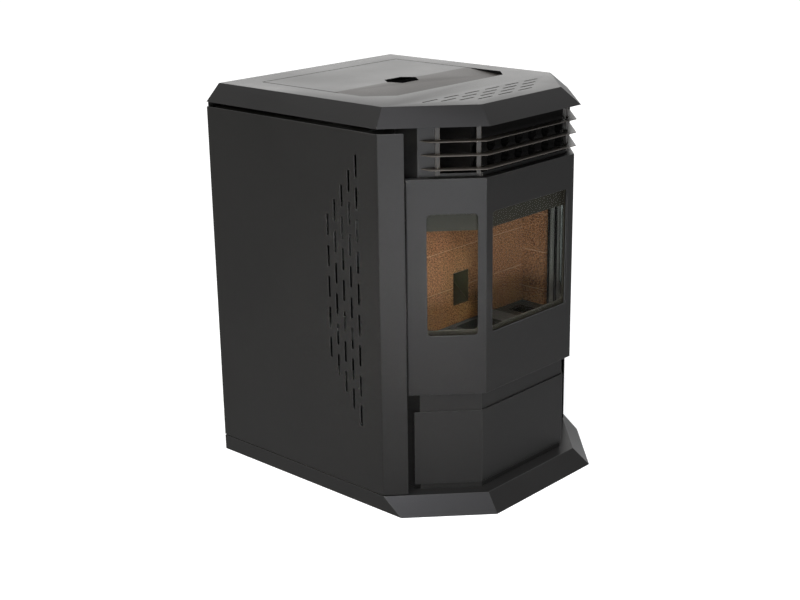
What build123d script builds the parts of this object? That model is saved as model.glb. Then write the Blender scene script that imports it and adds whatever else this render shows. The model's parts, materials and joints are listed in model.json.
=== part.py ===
from build123d import *
from math import cos, hypot, radians, sin
import os

# A free-standing pellet stove: sheet-steel case with a bay front, glazed door, ash drawer, fuel hopper,
# screw feed, firebox with heat exchanger, and two blowers. Millimetres, +Z up, the front faces -Y.
# Depths are measured from the back of the case towards the front, and at() turns one into a Y coordinate.

# --- case ---
case_height = 830.0
case_half_width = 304.0
side_depth = 493.0            # back of the case to the front corner of a side panel
bay_angle = 43.5              # between the slanted facets and the front
bay_width = 157.0             # of each slanted facet, seen from the front
bay_front_half = case_half_width - bay_width
sheet = 2.0
base_height = 34.0
base_bevel = 35.5             # how far the foot of the plinth stands out
base_flange = 25.0
cap_drop = 35.0               # height of the sloping edge of the cap
cap_side_bevel = 37.5
cap_front_bevel = 37.5
cap_slant_bevel = 40.0
cap_edge_round = 1.5
flue_reach = 45.0             # flue spigot behind the case
running_fit = 0.05            # on the radius of a pin or shaft in its hole
side_play = 0.4
cut_over = 1.0                # how far a cut runs past the face it opens

# --- side and back panels ---
panel_base_gap = 2.0
panel_cap_gap = 10.0
panel_front_flange = 37.5         # width of the slanted flange of a side panel, seen from the front
panel_rear_flange = 20.0
panel_foot_flange = 25.0
panel_head_flange = 50.0
panel_corner_round = 5.0
cap_tab_length = 50.0
cap_tab_depths = (85.0, 400.0)
back_gap = 0.3

side_slot_length = 45.0
side_slot_width = 6.0
side_slot_pitch = 65.0
side_slot_columns = 5
side_slot_shortest = 5            # slots in the rearmost column, and one more in each next one
side_slot_rear_depth = 353.5
side_slot_column_pitch = 20.5
side_slot_drop = 373.5            # middle of the slots under the top of the case
vent_length = 48.0
vent_width = 5.0
vent_columns = 2
vent_column_pitch = 60.0
vent_rows = 7
vent_row_pitch = 14.0
vent_spots = ((-170.0, 210.0), (190.0, 400.0))
pipe_hole_gap = 1.5
hose_hole_gap = 1.0

cap_slot_length = 45.0
cap_slot_width = 4.5
cap_slot_pitch = 64.0
cap_slot_rows = 4
cap_slot_longest = 6
cap_slot_first_depth = 502.0
cap_slot_row_pitch = 20.0

# --- hopper lid ---
lid_left = case_half_width - 100.0
lid_right = case_half_width - 88.0
lid_back = 66.0
lid_front = 410.0
lid_left_chamfer = 50.0
lid_right_chamfer = 34.0
lid_gap = 2.0
lid_skirt = 14.0
lid_fold_depth = 288.0
lid_front_drop = 10.0
finger_hole_depth = 281.0
finger_hole_half_length = 43.0
finger_hole_half_flat = 25.0
finger_hole_half_width = 25.5
finger_cup_height = 28.0
finger_cup_wall = 1.5
finger_cup_side_lap = 7.0
finger_cup_lap = 6.0
lid_pivot_back = 8.5              # lid's rear edge to the hinge axis
lid_pivot_drop = 8.0
lid_pin_radius = 2.5
lid_knuckle_radius = 6.3
lid_knuckle_length = 30.0
lid_hinge_offset = 150.0
hinge_ear = 3.0
hinge_ear_round = 5.0
hinge_strap = 1.0
lid_gasket_height = 4.5
lid_gasket_gap = 0.5
lid_gasket_width = 8.0
lid_gasket_rear = 22.0            # its ends in front of the hinge axis

# --- front casing, louvre and door ---
casing_inset = 28.0
casing_half_width = case_half_width - 77.0
casing_return_depth = 470.0
casing_top = case_height - 18.0
louvre_opening_half = casing_half_width - 27.5
louvre_opening_bottom = case_height - 130.0
louvre_opening_top = case_height - 30.0
louvre_lip = 4.0
blade_count = 3
blade_lowest = louvre_opening_bottom + 9.0
blade_pitch = 27.5
blade_thickness = 1.6
blade_outer_inset = 8.0
blade_inner_inset = 31.0
blade_half_width = casing_half_width - 4.0
blade_play = 0.5
post_inset = 24.0
post_width = 9.0
post_lap = 3.0
post_positions = (casing_half_width - 28.0, casing_half_width - 86.0)

door_inset = 11.0
door_half_width = case_half_width - 45.5
door_bottom = 248.0
door_top = louvre_opening_bottom - 7.5
door_plate = 3.0
door_depth = 13.0
door_corner_round = 5.0
window_bottom = door_bottom + 125.0
window_top = door_top - 70.5
window_corner = 8.0
front_window_half = bay_front_half - 24.0
side_window_start = 42.5          # from the rear edge of the door, along the slanted facet
side_window_width = 100.5
glass = 4.0
glass_lap = 7.0
glass_corner = 3.0
glass_tape = 2.5
tape_width = 5.0
tape_edge = 1.0                   # tape inside the edge of its pane
liner = 2.0
liner_rim = 6.0
liner_along = 36.0
liner_sill = 10.0                 # height of the liner rail that shows above the lower edge of each window
rope = 7.0
rope_along = 28.0
rope_gap = 0.3
rope_bottom = door_bottom + 47.0
rope_top = door_top - 27.5
deflector_bottom = window_top - 36.0
deflector_height = 60.0
deflector_thickness = 1.5
hinge_along = 12.0                # hinge axis from the rear edge of the door, along the facet
hinge_in = 9.0                    # hinge axis behind the outer face
hinge_barrel_radius = 5.5
hinge_barrel_length = 34.0
hinge_pin_radius = 3.0
hinge_pin_end = 1.0
hinge_heights = (door_bottom + 52.0, door_top - 52.5)
hinge_plate = 4.0
hinge_leaf_back = 30.0
hinge_leaf_lap = 8.0
hinge_face_gap = 2.0
hinge_notch_half = 28.0
handle_along = 9.0
handle_height = door_bottom + 222.0
handle_length = 95.0
handle_width = 16.0
handle_thickness = 7.0
handle_stand_off = 4.5
spindle_radius = 4.0
latch_depth = 24.0                # latch tongue behind the outer face of the door
latch_tongue = 16.0
latch_width = 7.0
latch_thickness = 4.0
latch_hub_radius = 6.5
handle_round = 2.0
catch_gap = 0.7
catch_along = 5.0
catch_reach = 26.0
catch_thickness = 4.8
catch_gap_under_hub = 2.0
catch_clear = 20.0                # casing wall around which the catch is cut away
catch_foot = 4.0

# --- ash drawer ---
ash_inset = 25.0
ash_half_width = case_half_width - 66.5
ash_bottom = 46.0
ash_top = 206.0
ash_opening_half = casing_half_width - 22.0
ash_opening_bottom = 50.0
ash_opening_top = 202.0
pan_half_width = ash_opening_half - 10.0
pan_back = 445.0
pan_bottom = 52.0
pan_height = 98.0
pan_wall = 1.5
runner_gap = 0.3

# --- firebox ---
shell_plate = 3.0
shell_gap = 0.2
shell_half_width = casing_half_width - sheet - shell_gap
shell_side = 2.5
shell_back = 417.5
shell_top = louvre_opening_bottom - 10.0
firebox_opening_half = casing_half_width - 9.5
firebox_opening_bottom = 312.0
firebox_opening_top = shell_top - 42.0
seal_radius = 5.5
seal_half_width = casing_half_width - sheet - seal_radius
hearth_height = 321.0
hearth_plate_thickness = 6.0
hearth_inset = 36.0
hearth_ledge = 8.0
brick_top = shell_top - 50.0
back_brick_thickness = 25.0
side_brick_thickness = 10.0
side_brick_front = 507.0
seal_gap = 7.3                    # bare firebox wall between the side bricks and the lip behind each seal
shell_front = side_brick_front + seal_gap
brick_groove = 2.0
brick_play = 0.5
brick_course = 87.0
back_groove_lowest = 404.0
side_groove_lowest = 355.0
chute_half_width = 26.0
chute_bottom = 363.0
chute_top = 437.0
chute_wall = 1.5
chute_end_gap = 1.5
chute_lip = 1.0
baffle_thickness = 6.0
baffle_front = 560.0
baffle_inset = 46.0
exchanger_rim = 8.0
exchanger_half_width = shell_half_width - 76.8
exchanger_front = 596.0
exchanger_top = case_height - 38.0
tube_count = 7
tube_edge = 16.0                  # outermost tube's middle inside the exchanger's side
tube_radius = 13.5
tube_wall = 1.0
tube_heights = (shell_top + 24.0, shell_top + 55.0)
smoke_port_x = (shell_half_width - 62.8, shell_half_width - 8.8)
smoke_port_z = (shell_top - 38.0, shell_top - 8.0)
ash_slot_half = 22.0
ash_slot_centre = shell_half_width - 64.8
ash_slot_depths = (465.0, 540.0)

pot_half_width = 50.0
pot_half_depth = 43.0
pot_bottom = 262.0
pot_top = 330.0
pot_wall = 4.0
pot_flange = 8.0
pot_play = 1.0
pot_hole_pitch = 17.0
pot_hole_radius = 4.0
pot_hole_columns = 5
pot_hole_rows = 4
cradle_half_width = 110.0
cradle_half_depth = 62.0
cradle_thickness = 3.0
cradle_brick_gap = 0.5
pot_depth = shell_back + shell_plate + back_brick_thickness + cradle_brick_gap + cradle_half_depth
air_box_half_width = 90.0
air_box_half_depth = 50.0
air_box_bottom = 232.0
igniter_height = pot_bottom + 17.0
igniter_radius = 5.0

# --- fuel feed ---
hopper_wall = 1.5
hopper_in = 14.0                  # hopper wall inside the lid opening
hopper_rim_depths = (50.0, 420.0)
funnel_top = case_height - 230.0
funnel_corner = 8.0
guard_height = case_height - 65.0
guard_bar = 4.0
guard_pitch = 40.0
auger_angle = 42.0
auger_foot_depth = 95.0
auger_foot_height = 252.0
auger_length = 380.0
auger_tube_radius = 30.0
auger_tube_wall = 3.0
auger_shaft_radius = 8.0
auger_play = 1.5
auger_pitch = 42.0
auger_flight = 3.0
flight_root_lap = 1.0
flight_foot_gap = 12.0
flight_head_gap = 18.0
shaft_tail = 12.0
gearbox_half = 32.0
gearbox_length = 40.0
gearbox_round = 6.0
gearmotor_radius = 26.0
gearmotor_length = 42.0
throat_back = 140.0
throat_front = 212.0
throat_half_width = 38.0
throat_clear = 6.0
throat_wall = 2.0
throat_lap = 4.0
chute_mouth_back = 350.0

# --- air and smoke ---
smoke_duct_outer = shell_half_width - 3.8
flue_x = smoke_duct_outer - 76.0
flue_height = 180.0
flue_radius = 40.0
flue_wall = 1.5
flue_collar = 8.0
spigot_step = 1.0                 # pipe inside the case is this much slimmer than its spigot
spigot_start = 2.0                # spigot's foot behind the case
exhaust_depth = 120.0
exhaust_height = 150.0
exhaust_radius = 68.0
exhaust_half_width = 26.0
exhaust_outlet_drop = 8.0
exhaust_foot_half = 25.0
fan_wall = 2.0
fan_shaft_radius = 4.0
fan_shaft_gap = 1.0
fan_shaft_end = 15.0              # its end inside the motor
fan_blade = 1.5
fan_blade_lap = 1.0
fan_foot_in = 12.0
motor_boss = 5.0
flue_flange_depth = 30.0
flue_flange_lap = 3.0
exhaust_eye_radius = 30.0
convection_eye_radius = 44.0
exhaust_wheel_radius = 54.0
exhaust_blade_height = 14.0
exhaust_blades = 12
exhaust_motor_radius = 34.0
exhaust_motor_length = 56.0
duct_wall = 1.5
duct_back = 399.0
smoke_eye_lap = 2.0
smoke_port_lap = 4.0
smoke_back_lap = 4.0
plenum_lap = 4.0
convection_outer = casing_half_width - 2.0
convection_inner = convection_outer - 107.0
convection_depth = 190.0
convection_height = 125.0
convection_radius = 68.0
convection_wheel_radius = 57.0
convection_blade_height = 9.0
convection_blades = 24
convection_foot_half = 30.0
convection_motor_radius = 36.0
convection_motor_length = 46.0
convection_box_end = 330.0
duct_half_height = 31.5
intake_x = -62.0
intake_height = 262.0
intake_radius = 25.0
intake_wall = 1.5
intake_collar = 6.0
intake_reach = 25.0

# --- controls and fasteners ---
control_depths = (92.0, 252.0)
control_heights = (case_height - 190.0, case_height - 110.0)
control_lip = 6.0
button_size = 14.0
button_gap = 0.3
button_count = 3
button_height = control_heights[0] + 22.0
button_flange = 2.0
button_round = 0.8
bezel_thickness = 8.0
display_half_width = 60.0
display_top = 10.0                # dark display strip under the top of the panel's opening
display_bottom = 38.0
display_recess = 1.0
button_pitch = 30.0
board_stand_off = 11.0
board_depth_in = 8.0
board_below = 25.0
board_above = 15.0
board_post_radius = 3.0
board_post_depth_in = 16.0
board_post_height_in = 6.0
relay = (-50.0, -15.0, -15.0, 20.0, 20.0)     # nearest and furthest depth, lowest and highest, and thickness
capacitor = (5.0, 50.0, 25.0, 70.0, 12.0)
inlet_x = 74.0 - case_half_width
inlet_height = 90.0
inlet_gap = 0.3
inlet_half_width = 16.0
inlet_half_height = 15.0
inlet_depth = 24.0
inlet_rim = 3.0
inlet_rim_half_height = 17.0
socket_half_width = 12.0
socket_half_height = 9.0
socket_depth = 18.0
pin_spots = ((-7.0, -2.0), (0.0, 3.0), (7.0, -2.0))
pin_half_width = 1.0
pin_half_height = 2.5
pin_start = 4.0
switch_x = inlet_x + 50.0
switch_half_width = 12.0
switch_depth = 5.0
rocker_half_width = 7.0
rocker_half_height = 9.0
rocker_crown = 8.0                # its two ends behind the pivot, and its middle
rocker_dip = 6.0
rocker_back = 5.0
rocker_pin_radius = 1.5
rocker_pin_reach = 1.5
rocker_gap = 0.4
rocker_swing = 2.5
rocker_well = 16.0
screw_radius = 2.0
screw_head_radius = 4.5
screw_head = 2.0
screw_count = 4
screw_lowest = 90.0
screw_highest = case_height - 110.0

# ---------------------------------------------------------------- values worked out from these
panel_front_flange_end = case_half_width - panel_front_flange
tube_pitch = 2 * (exchanger_half_width - tube_edge) / (tube_count - 1)
screw_pitch = (screw_highest - screw_lowest) / (screw_count - 1)
screw_heights = [screw_lowest + i * screw_pitch for i in range(screw_count)]
screw_x = case_half_width - panel_rear_flange / 2
intake_pipe_radius = intake_radius - spigot_step
flue_pipe_radius = flue_radius - spigot_step


def courses(lowest):
    """Heights of the joints between the bricks of one wall, from the lowest one up."""
    return [lowest + i * brick_course for i in range(1 + int((brick_top - lowest) / brick_course))]


back_grooves = courses(back_groove_lowest)
side_grooves = courses(side_groove_lowest)

# ---------------------------------------------------------------- outline of the case
slant_sin, slant_cos = sin(radians(bay_angle)), cos(radians(bay_angle))
bay_depth = side_depth + (case_half_width - bay_front_half) * slant_sin / slant_cos
slant_reach = case_half_width * slant_sin + side_depth * slant_cos
back_y = (bay_depth + base_bevel - flue_reach) / 2


def at(depth):
    """Y of a distance from the back of the case."""
    return back_y - depth


def slant_depth(half_width, inset):
    """Distance from the back at which a slanted facet, moved in by inset, has this half width."""
    return (slant_reach - inset - half_width * slant_sin) / slant_cos


def bay(inset, half_width, back=0.0, front_inset=None):
    """Outline of the bay front moved in by inset, between two sides, as a list of points."""
    front = bay_depth - (inset if front_inset is None else front_inset)
    front_half = (slant_reach - inset - front * slant_cos) / slant_sin
    corner = slant_depth(half_width, inset)
    left = [(-half_width, at(back)), (-half_width, at(corner)), (-front_half, at(front))]
    return left + [(-x, y) for x, y in reversed(left)]


def strip(outer_inset, inner_inset, half_width):
    """Outline of a bent sheet that follows the bay between two insets and ends at half_width."""
    return bay(outer_inset, half_width)[1:-1] + bay(inner_inset, half_width)[-2:0:-1]


def on_facet(side, along, inset):
    """Point of a slanted facet, along it from the rear edge of the door. side is -1 left, 1 right."""
    deeper = inset - door_inset
    x = door_half_width - along * slant_cos - deeper * slant_sin
    depth = slant_depth(door_half_width, door_inset) + along * slant_sin - deeper * slant_cos
    return side * x, at(depth)


def band(outer_inset, inner_inset, along):
    """Outline of a bent sheet that follows the bay, its ends square to the facets."""
    ends = [on_facet(-1, along, outer_inset), on_facet(1, along, outer_inset),
            on_facet(1, along, inner_inset), on_facet(-1, along, inner_inset)]
    outer, inner = bay(outer_inset, case_half_width)[2:4], bay(inner_inset, case_half_width)[2:4]
    return [ends[0], *outer, ends[1], ends[2], *reversed(inner), ends[3]]


def facet_plane(side, along, inset, height):
    """Plane on a slanted facet: X along it towards +X, Y up, Z outwards."""
    return Plane(origin=(*on_facet(side, along, inset), height), x_dir=(slant_cos, side * slant_sin, 0),
                 z_dir=(side * slant_sin, -slant_cos, 0))


# ---------------------------------------------------------------- shapes used again and again
def block(x_range, depth_range, z_range, mode=Mode.ADD):
    """Box between two X, two depths and two heights."""
    (x0, x1), (d0, d1), (z0, z1) = x_range, depth_range, z_range
    with Locations(((x0 + x1) / 2, at((d0 + d1) / 2), (z0 + z1) / 2)):
        Box(x1 - x0, d1 - d0, z1 - z0, mode=mode)


def prism(points, z0, z1, mode=Mode.ADD):
    """Upright prism on an outline seen from above."""
    with BuildSketch(Plane.XY.offset(z0)) as outline:
        Polygon(*points, align=None)
    extrude(outline.sketch, amount=z1 - z0, mode=mode)


def profile(points, x0, x1, mode=Mode.ADD):
    """Prism along X on a side view given as depths and heights."""
    with BuildSketch(Plane.YZ.offset(x0)) as outline:
        Polygon(*[(at(d), z) for d, z in points], align=None)
    extrude(outline.sketch, amount=x1 - x0, mode=mode)


def round_x(depth, z, radius, x0, x1, mode=Mode.ADD):
    """Round bar along X."""
    with BuildSketch(Plane.YZ.offset(x0)) as outline:
        with Locations((at(depth), z)):
            Circle(radius)
    extrude(outline.sketch, amount=x1 - x0, mode=mode)


def round_y(x, z, radius, d0, d1, mode=Mode.ADD):
    """Round bar from one depth to another."""
    with BuildSketch(Plane.XZ.offset(-at(d0))) as outline:
        with Locations((x, z)):
            Circle(radius)
    extrude(outline.sketch, amount=d1 - d0, mode=mode)


pieces = {}


def keep(name, part):
    """Label a finished piece and put it on the list to write."""
    part.label = name
    pieces[name] = part


# ---------------------------------------------------------------- base
skirt = sheet * hypot(base_bevel, base_height) / base_height

with BuildPart() as base_plinth:
    with BuildSketch(Plane.XY):
        Polygon(*bay(-base_bevel, case_half_width), align=None)
    with BuildSketch(Plane.XY.offset(base_height)):
        Polygon(*bay(0, case_half_width), align=None)
    loft(ruled=True)
    inner_foot = bay(skirt - base_bevel, case_half_width - sheet, back=sheet)
    inner_head = bay(skirt - base_bevel * sheet / base_height, case_half_width - sheet, back=sheet)
    with BuildSketch(Plane.XY):
        Polygon(*inner_foot, align=None)
    with BuildSketch(Plane.XY.offset(base_height - sheet)):
        Polygon(*inner_head, align=None)
    loft(ruled=True, mode=Mode.SUBTRACT)
    with BuildSketch(Plane.XY):
        Polygon(*bay(0.9 * skirt - base_bevel, case_half_width - sheet / 2, back=sheet / 2), align=None)
        Polygon(*bay(base_flange - base_bevel, case_half_width - base_flange, back=base_flange), align=None,
                mode=Mode.SUBTRACT)
    extrude(amount=sheet)
keep("base_plinth", base_plinth.part)

# ---------------------------------------------------------------- side panels
panel_bottom = base_height + panel_base_gap
panel_top = case_height - cap_drop - panel_cap_gap
cap_underside = case_height - sheet
tab_x = case_half_width - panel_head_flange


def side_panel(side):
    """One side of the case with its front, rear, head and foot flanges and its vent slots."""
    outer = case_half_width
    inner = case_half_width - sheet
    end = panel_front_flange_end
    plan = [
        (outer, 0), (outer, side_depth), (end, slant_depth(end, 0)), (end, slant_depth(end, sheet)),
        (inner, slant_depth(inner, sheet)), (inner, sheet),
        (outer - panel_rear_flange, sheet), (outer - panel_rear_flange, 0),
    ]
    with BuildPart() as panel:
        with BuildSketch(Plane.XY.offset(panel_bottom)) as plan_face:
            Polygon(*[(side * x, at(d)) for x, d in plan], align=None)
            corners = plan_face.vertices().sort_by_distance((side * outer, at(side_depth), panel_bottom))[:2]
            fillet(corners[0], panel_corner_round)
            inner_corner = plan_face.vertices().sort_by_distance(
                (side * inner, at(slant_depth(inner, sheet)), panel_bottom))[0]
            fillet(inner_corner, panel_corner_round - sheet)
        extrude(amount=panel_top - panel_bottom)
        foot = sorted((side * inner, side * (inner - panel_foot_flange)))
        head = sorted((side * inner, side * tab_x))
        tab = sorted((side * tab_x, side * (tab_x + sheet)))
        flange_depths = (panel_rear_flange, casing_return_depth - 2 * sheet)
        block(foot, flange_depths, (base_height, panel_bottom + sheet))
        block(head, flange_depths, (panel_top - sheet, panel_top))
        for depth in cap_tab_depths:
            block(tab, (depth - cap_tab_length / 2, depth + cap_tab_length / 2), (panel_top - sheet, cap_underside))
        with BuildSketch(Plane.YZ.offset(side * (outer + sheet))):
            for column in range(side_slot_columns):
                count = side_slot_shortest + column
                depth = side_slot_rear_depth + column * side_slot_column_pitch
                with Locations((at(depth), case_height - side_slot_drop)):
                    with GridLocations(1, side_slot_pitch, 1, count):
                        SlotOverall(side_slot_length, side_slot_width, rotation=90)
        extrude(amount=-side * 3 * sheet, mode=Mode.SUBTRACT)
        for z in screw_heights:
            round_y(side * screw_x, z, screw_radius + running_fit, -sheet, 2 * sheet, Mode.SUBTRACT)
        if side > 0:
            block((inner - sheet, outer + sheet), control_depths, control_heights, Mode.SUBTRACT)
    return panel.part


keep("left_side_panel", side_panel(-1))
keep("right_side_panel", side_panel(1))

# ---------------------------------------------------------------- back panel
back_half = case_half_width - sheet - back_gap

with BuildPart() as back_panel:
    block((-back_half, back_half), (sheet, 2 * sheet), (base_height, case_height - cap_drop))
    round_y(flue_x, flue_height, flue_radius + pipe_hole_gap, 0, 3 * sheet, Mode.SUBTRACT)
    round_y(intake_x, intake_height, intake_radius + hose_hole_gap, 0, 3 * sheet, Mode.SUBTRACT)
    block((inlet_x - inlet_half_width, switch_x + switch_half_width), (0, 3 * sheet),
          (inlet_height - inlet_half_height, inlet_height + inlet_half_height), Mode.SUBTRACT)
    for side in (-1, 1):
        for z in screw_heights:
            round_y(side * screw_x, z, screw_radius + running_fit, 0, 3 * sheet, Mode.SUBTRACT)
    with BuildSketch(Plane.XZ.offset(-at(0))):
        for spot in vent_spots:
            with Locations(spot):
                with GridLocations(vent_column_pitch, vent_row_pitch, vent_columns, vent_rows):
                    SlotOverall(vent_length, vent_width)
    extrude(amount=3 * sheet, mode=Mode.SUBTRACT)
keep("back_panel", back_panel.part)

with BuildPart() as back_screws:
    for side in (-1, 1):
        for z in screw_heights:
            round_y(side * screw_x, z, screw_head_radius, -screw_head, 0)
            round_y(side * screw_x, z, screw_radius, 0, 4 * sheet)
keep("back_screws", back_screws.part)


# ---------------------------------------------------------------- cap, hopper opening and lid
def lid_outline(inset):
    """Outline of the hopper opening moved in by inset, its two front corners cut off."""
    shorten = inset * (2 - 2 ** 0.5)
    left, right = -lid_left + inset, lid_right - inset
    back, front = lid_back + inset, lid_front - inset
    cut_l, cut_r = lid_left_chamfer - shorten, lid_right_chamfer - shorten
    return [(left, at(back)), (left, at(front - cut_l)), (left + cut_l, at(front)),
            (right - cut_r, at(front)), (right, at(front - cut_r)), (right, at(back))]


cap_bottom = case_height - cap_drop
cap_skirt = sheet * hypot(cap_side_bevel, cap_drop) / cap_drop
cap_share = (cap_drop - sheet) / cap_drop

with BuildPart() as top_cap:
    with BuildSketch(Plane.XY.offset(cap_bottom)):
        Polygon(*bay(0, case_half_width), align=None)
    with BuildSketch(Plane.XY.offset(case_height)):
        Polygon(*bay(cap_slant_bevel, case_half_width - cap_side_bevel, front_inset=cap_front_bevel), align=None)
    loft(ruled=True)
    fillet(top_cap.faces().sort_by(Axis.Z)[-1].edges(), cap_edge_round)
    with BuildSketch(Plane.XY.offset(cap_bottom)):
        Polygon(*bay(cap_skirt, case_half_width - cap_skirt, back=sheet), align=None)
    with BuildSketch(Plane.XY.offset(cap_underside)):
        Polygon(*bay(cap_share * cap_slant_bevel + cap_skirt,
                     case_half_width - cap_share * cap_side_bevel - cap_skirt, back=sheet,
                     front_inset=cap_share * cap_front_bevel + cap_skirt), align=None)
    loft(ruled=True, mode=Mode.SUBTRACT)
    prism(lid_outline(0), cap_underside - sheet, case_height + sheet, Mode.SUBTRACT)
    with BuildSketch(Plane.XY.offset(case_height + sheet)):
        for row in range(cap_slot_rows):
            with Locations((0, at(cap_slot_first_depth + row * cap_slot_row_pitch))):
                with GridLocations(cap_slot_pitch, 1, cap_slot_longest - row, 1):
                    SlotOverall(cap_slot_length, cap_slot_width)
    extrude(amount=-3 * sheet, mode=Mode.SUBTRACT)
keep("top_cap", top_cap.part)

lid_rear = lid_back + lid_gap
lid_slope = lid_front_drop / (lid_front - lid_fold_depth)
lid_pivot_depth = lid_rear + lid_pivot_back
lid_pivot_height = case_height - lid_pivot_drop
lid_bottom = case_height - lid_skirt
finger_hole = [
    (-finger_hole_half_flat, finger_hole_half_width), (finger_hole_half_flat, finger_hole_half_width),
    (finger_hole_half_length, 0), (finger_hole_half_flat, -finger_hole_half_width),
    (-finger_hole_half_flat, -finger_hole_half_width), (-finger_hole_half_length, 0),
]


def lid_cut_above(drop, mode=Mode.SUBTRACT):
    """Take away what lies above the folded top of the lid, lowered by drop."""
    reach = lid_front + lid_skirt
    fold = case_height - drop
    profile([(0, fold), (lid_fold_depth, fold), (reach, fold - lid_slope * (reach - lid_fold_depth)),
             (reach, case_height + sheet), (0, case_height + sheet)], -case_half_width, case_half_width, mode)


with BuildPart() as lid_hollow:
    prism(lid_outline(lid_gap + sheet), lid_bottom - sheet, case_height)
    block((-lid_left + lid_gap + sheet, lid_right - lid_gap - sheet), (0, lid_front / 2),
          (lid_bottom - sheet, case_height))
    lid_cut_above(sheet)

with BuildPart() as hopper_lid:
    prism(lid_outline(lid_gap), lid_bottom, case_height)
    lid_cut_above(0)
    add(lid_hollow.part, mode=Mode.SUBTRACT)
    with BuildSketch(Plane.XY.offset(case_height + sheet)):
        with Locations((0, at(finger_hole_depth))):
            Polygon(*finger_hole, align=None)
    extrude(amount=-finger_cup_height, mode=Mode.SUBTRACT)
    for x in (-lid_hinge_offset, lid_hinge_offset):
        knuckle = (x - lid_knuckle_length / 2, x + lid_knuckle_length / 2)
        round_x(lid_pivot_depth, lid_pivot_height, lid_knuckle_radius, *knuckle)
        round_x(lid_pivot_depth, lid_pivot_height, lid_pin_radius + running_fit, *knuckle, Mode.SUBTRACT)
keep("hopper_lid", hopper_lid.part)

cup_half = finger_hole_half_length + finger_cup_side_lap
cup_back = finger_hole_depth - finger_hole_half_width - finger_cup_lap
cup_front = finger_hole_depth + finger_hole_half_width + finger_cup_lap
cup_top = case_height - sheet
cup_bottom = cup_top - finger_cup_height

with BuildPart() as lid_finger_cup:
    block((-cup_half, cup_half), (cup_back, cup_front), (cup_bottom, cup_top))
    block((finger_cup_wall - cup_half, cup_half - finger_cup_wall),
          (cup_back + finger_cup_wall, cup_front - finger_cup_wall),
          (cup_bottom + finger_cup_wall, cup_top + sheet), Mode.SUBTRACT)
    lid_cut_above(sheet)
keep("lid_finger_cup", lid_finger_cup.part)

lid_gasket_top = lid_bottom - lid_gasket_gap
rim_top = lid_gasket_top - lid_gasket_height
gasket_rear = lid_pivot_depth + lid_gasket_rear

with BuildPart() as lid_gasket:
    prism(lid_outline(lid_gap - lid_gasket_width / 4), rim_top, lid_gasket_top)
    prism(lid_outline(lid_gap + 3 * lid_gasket_width / 4), rim_top, lid_gasket_top, Mode.SUBTRACT)
    block((-case_half_width, case_half_width), (0, gasket_rear), (rim_top, lid_gasket_top), Mode.SUBTRACT)
keep("lid_gasket", lid_gasket.part)

with BuildPart() as lid_hinge_brackets:
    for x in (-lid_hinge_offset, lid_hinge_offset):
        half = lid_knuckle_length / 2 + side_play
        whole = (x - half - hinge_ear, x + half + hinge_ear)
        ear_depths = (lid_pivot_depth - hinge_ear_round, lid_pivot_depth + hinge_ear_round)
        for ear in (x - half - hinge_ear, x + half):
            block((ear, ear + hinge_ear), ear_depths, (rim_top, lid_pivot_height))
            round_x(lid_pivot_depth, lid_pivot_height, hinge_ear_round, ear, ear + hinge_ear)
        round_x(lid_pivot_depth, lid_pivot_height, lid_pin_radius, *whole)
        block(whole, ear_depths, (rim_top, rim_top + hinge_strap))
keep("lid_hinge_brackets", lid_hinge_brackets.part)

# ---------------------------------------------------------------- hopper, guard, feed screw
auger_sin, auger_cos = sin(radians(auger_angle)), cos(radians(auger_angle))
auger_plane = Plane(origin=(0, at(auger_foot_depth), auger_foot_height), x_dir=(1, 0, 0),
                    z_dir=(0, -auger_cos, auger_sin))


def auger_line(depth, offset):
    """Height of a line along the screw, offset square to its axis (up is positive), at a depth."""
    start_depth = auger_foot_depth - offset * auger_sin
    start_height = auger_foot_height + offset * auger_cos
    return start_height + (depth - start_depth) * auger_sin / auger_cos


throat_top = auger_line(throat_front, auger_tube_radius) + throat_clear
hopper_outline = lid_outline(hopper_in)


def funnel_foot(inset):
    """Outline of the hopper's outlet, with as many corners as the hopper."""
    half, back, front, cut = throat_half_width - inset, throat_back + inset, throat_front - inset, funnel_corner
    return [(-half, at(back)), (-half, at(front - cut)), (-half + cut, at(front)),
            (half - cut, at(front)), (half, at(front - cut)), (half, at(back))]


with BuildPart() as hopper:
    prism(hopper_outline, funnel_top, rim_top)
    with BuildSketch(Plane.XY.offset(throat_top)):
        Polygon(*funnel_foot(0), align=None)
    with BuildSketch(Plane.XY.offset(funnel_top)):
        Polygon(*hopper_outline, align=None)
    loft(ruled=True)
    block((-tab_x, tab_x), hopper_rim_depths, (rim_top - sheet, rim_top))
    prism(lid_outline(hopper_in + hopper_wall), funnel_top, rim_top + sheet, Mode.SUBTRACT)
    with BuildSketch(Plane.XY.offset(throat_top)):
        Polygon(*funnel_foot(hopper_wall), align=None)
    with BuildSketch(Plane.XY.offset(funnel_top)):
        Polygon(*lid_outline(hopper_in + hopper_wall), align=None)
    loft(ruled=True, mode=Mode.SUBTRACT)
keep("hopper", hopper.part)

guard_in = hopper_in + hopper_wall

with BuildPart() as hopper_guard:
    prism(lid_outline(guard_in), guard_height, guard_height + guard_bar)
    prism(lid_outline(guard_in + 2 * guard_bar), guard_height, guard_height + guard_bar, Mode.SUBTRACT)
    depth = lid_back + guard_in + guard_pitch
    while depth < lid_front - lid_left_chamfer:
        block((-lid_left + guard_in, lid_right - guard_in), (depth - guard_bar / 2, depth + guard_bar / 2),
              (guard_height, guard_height + guard_bar))
        depth += guard_pitch
keep("hopper_guard", hopper_guard.part)

mouth_end = auger_length - 2 * auger_tube_wall
chute_slope = [
    (chute_mouth_back, auger_line(chute_mouth_back, -auger_tube_radius)),
    (auger_foot_depth + mouth_end * auger_cos + auger_tube_radius * auger_sin,
     auger_foot_height + mouth_end * auger_sin - auger_tube_radius * auger_cos),
]
brick_face = shell_back + shell_plate + back_brick_thickness
chute_end = brick_face - chute_end_gap


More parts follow.
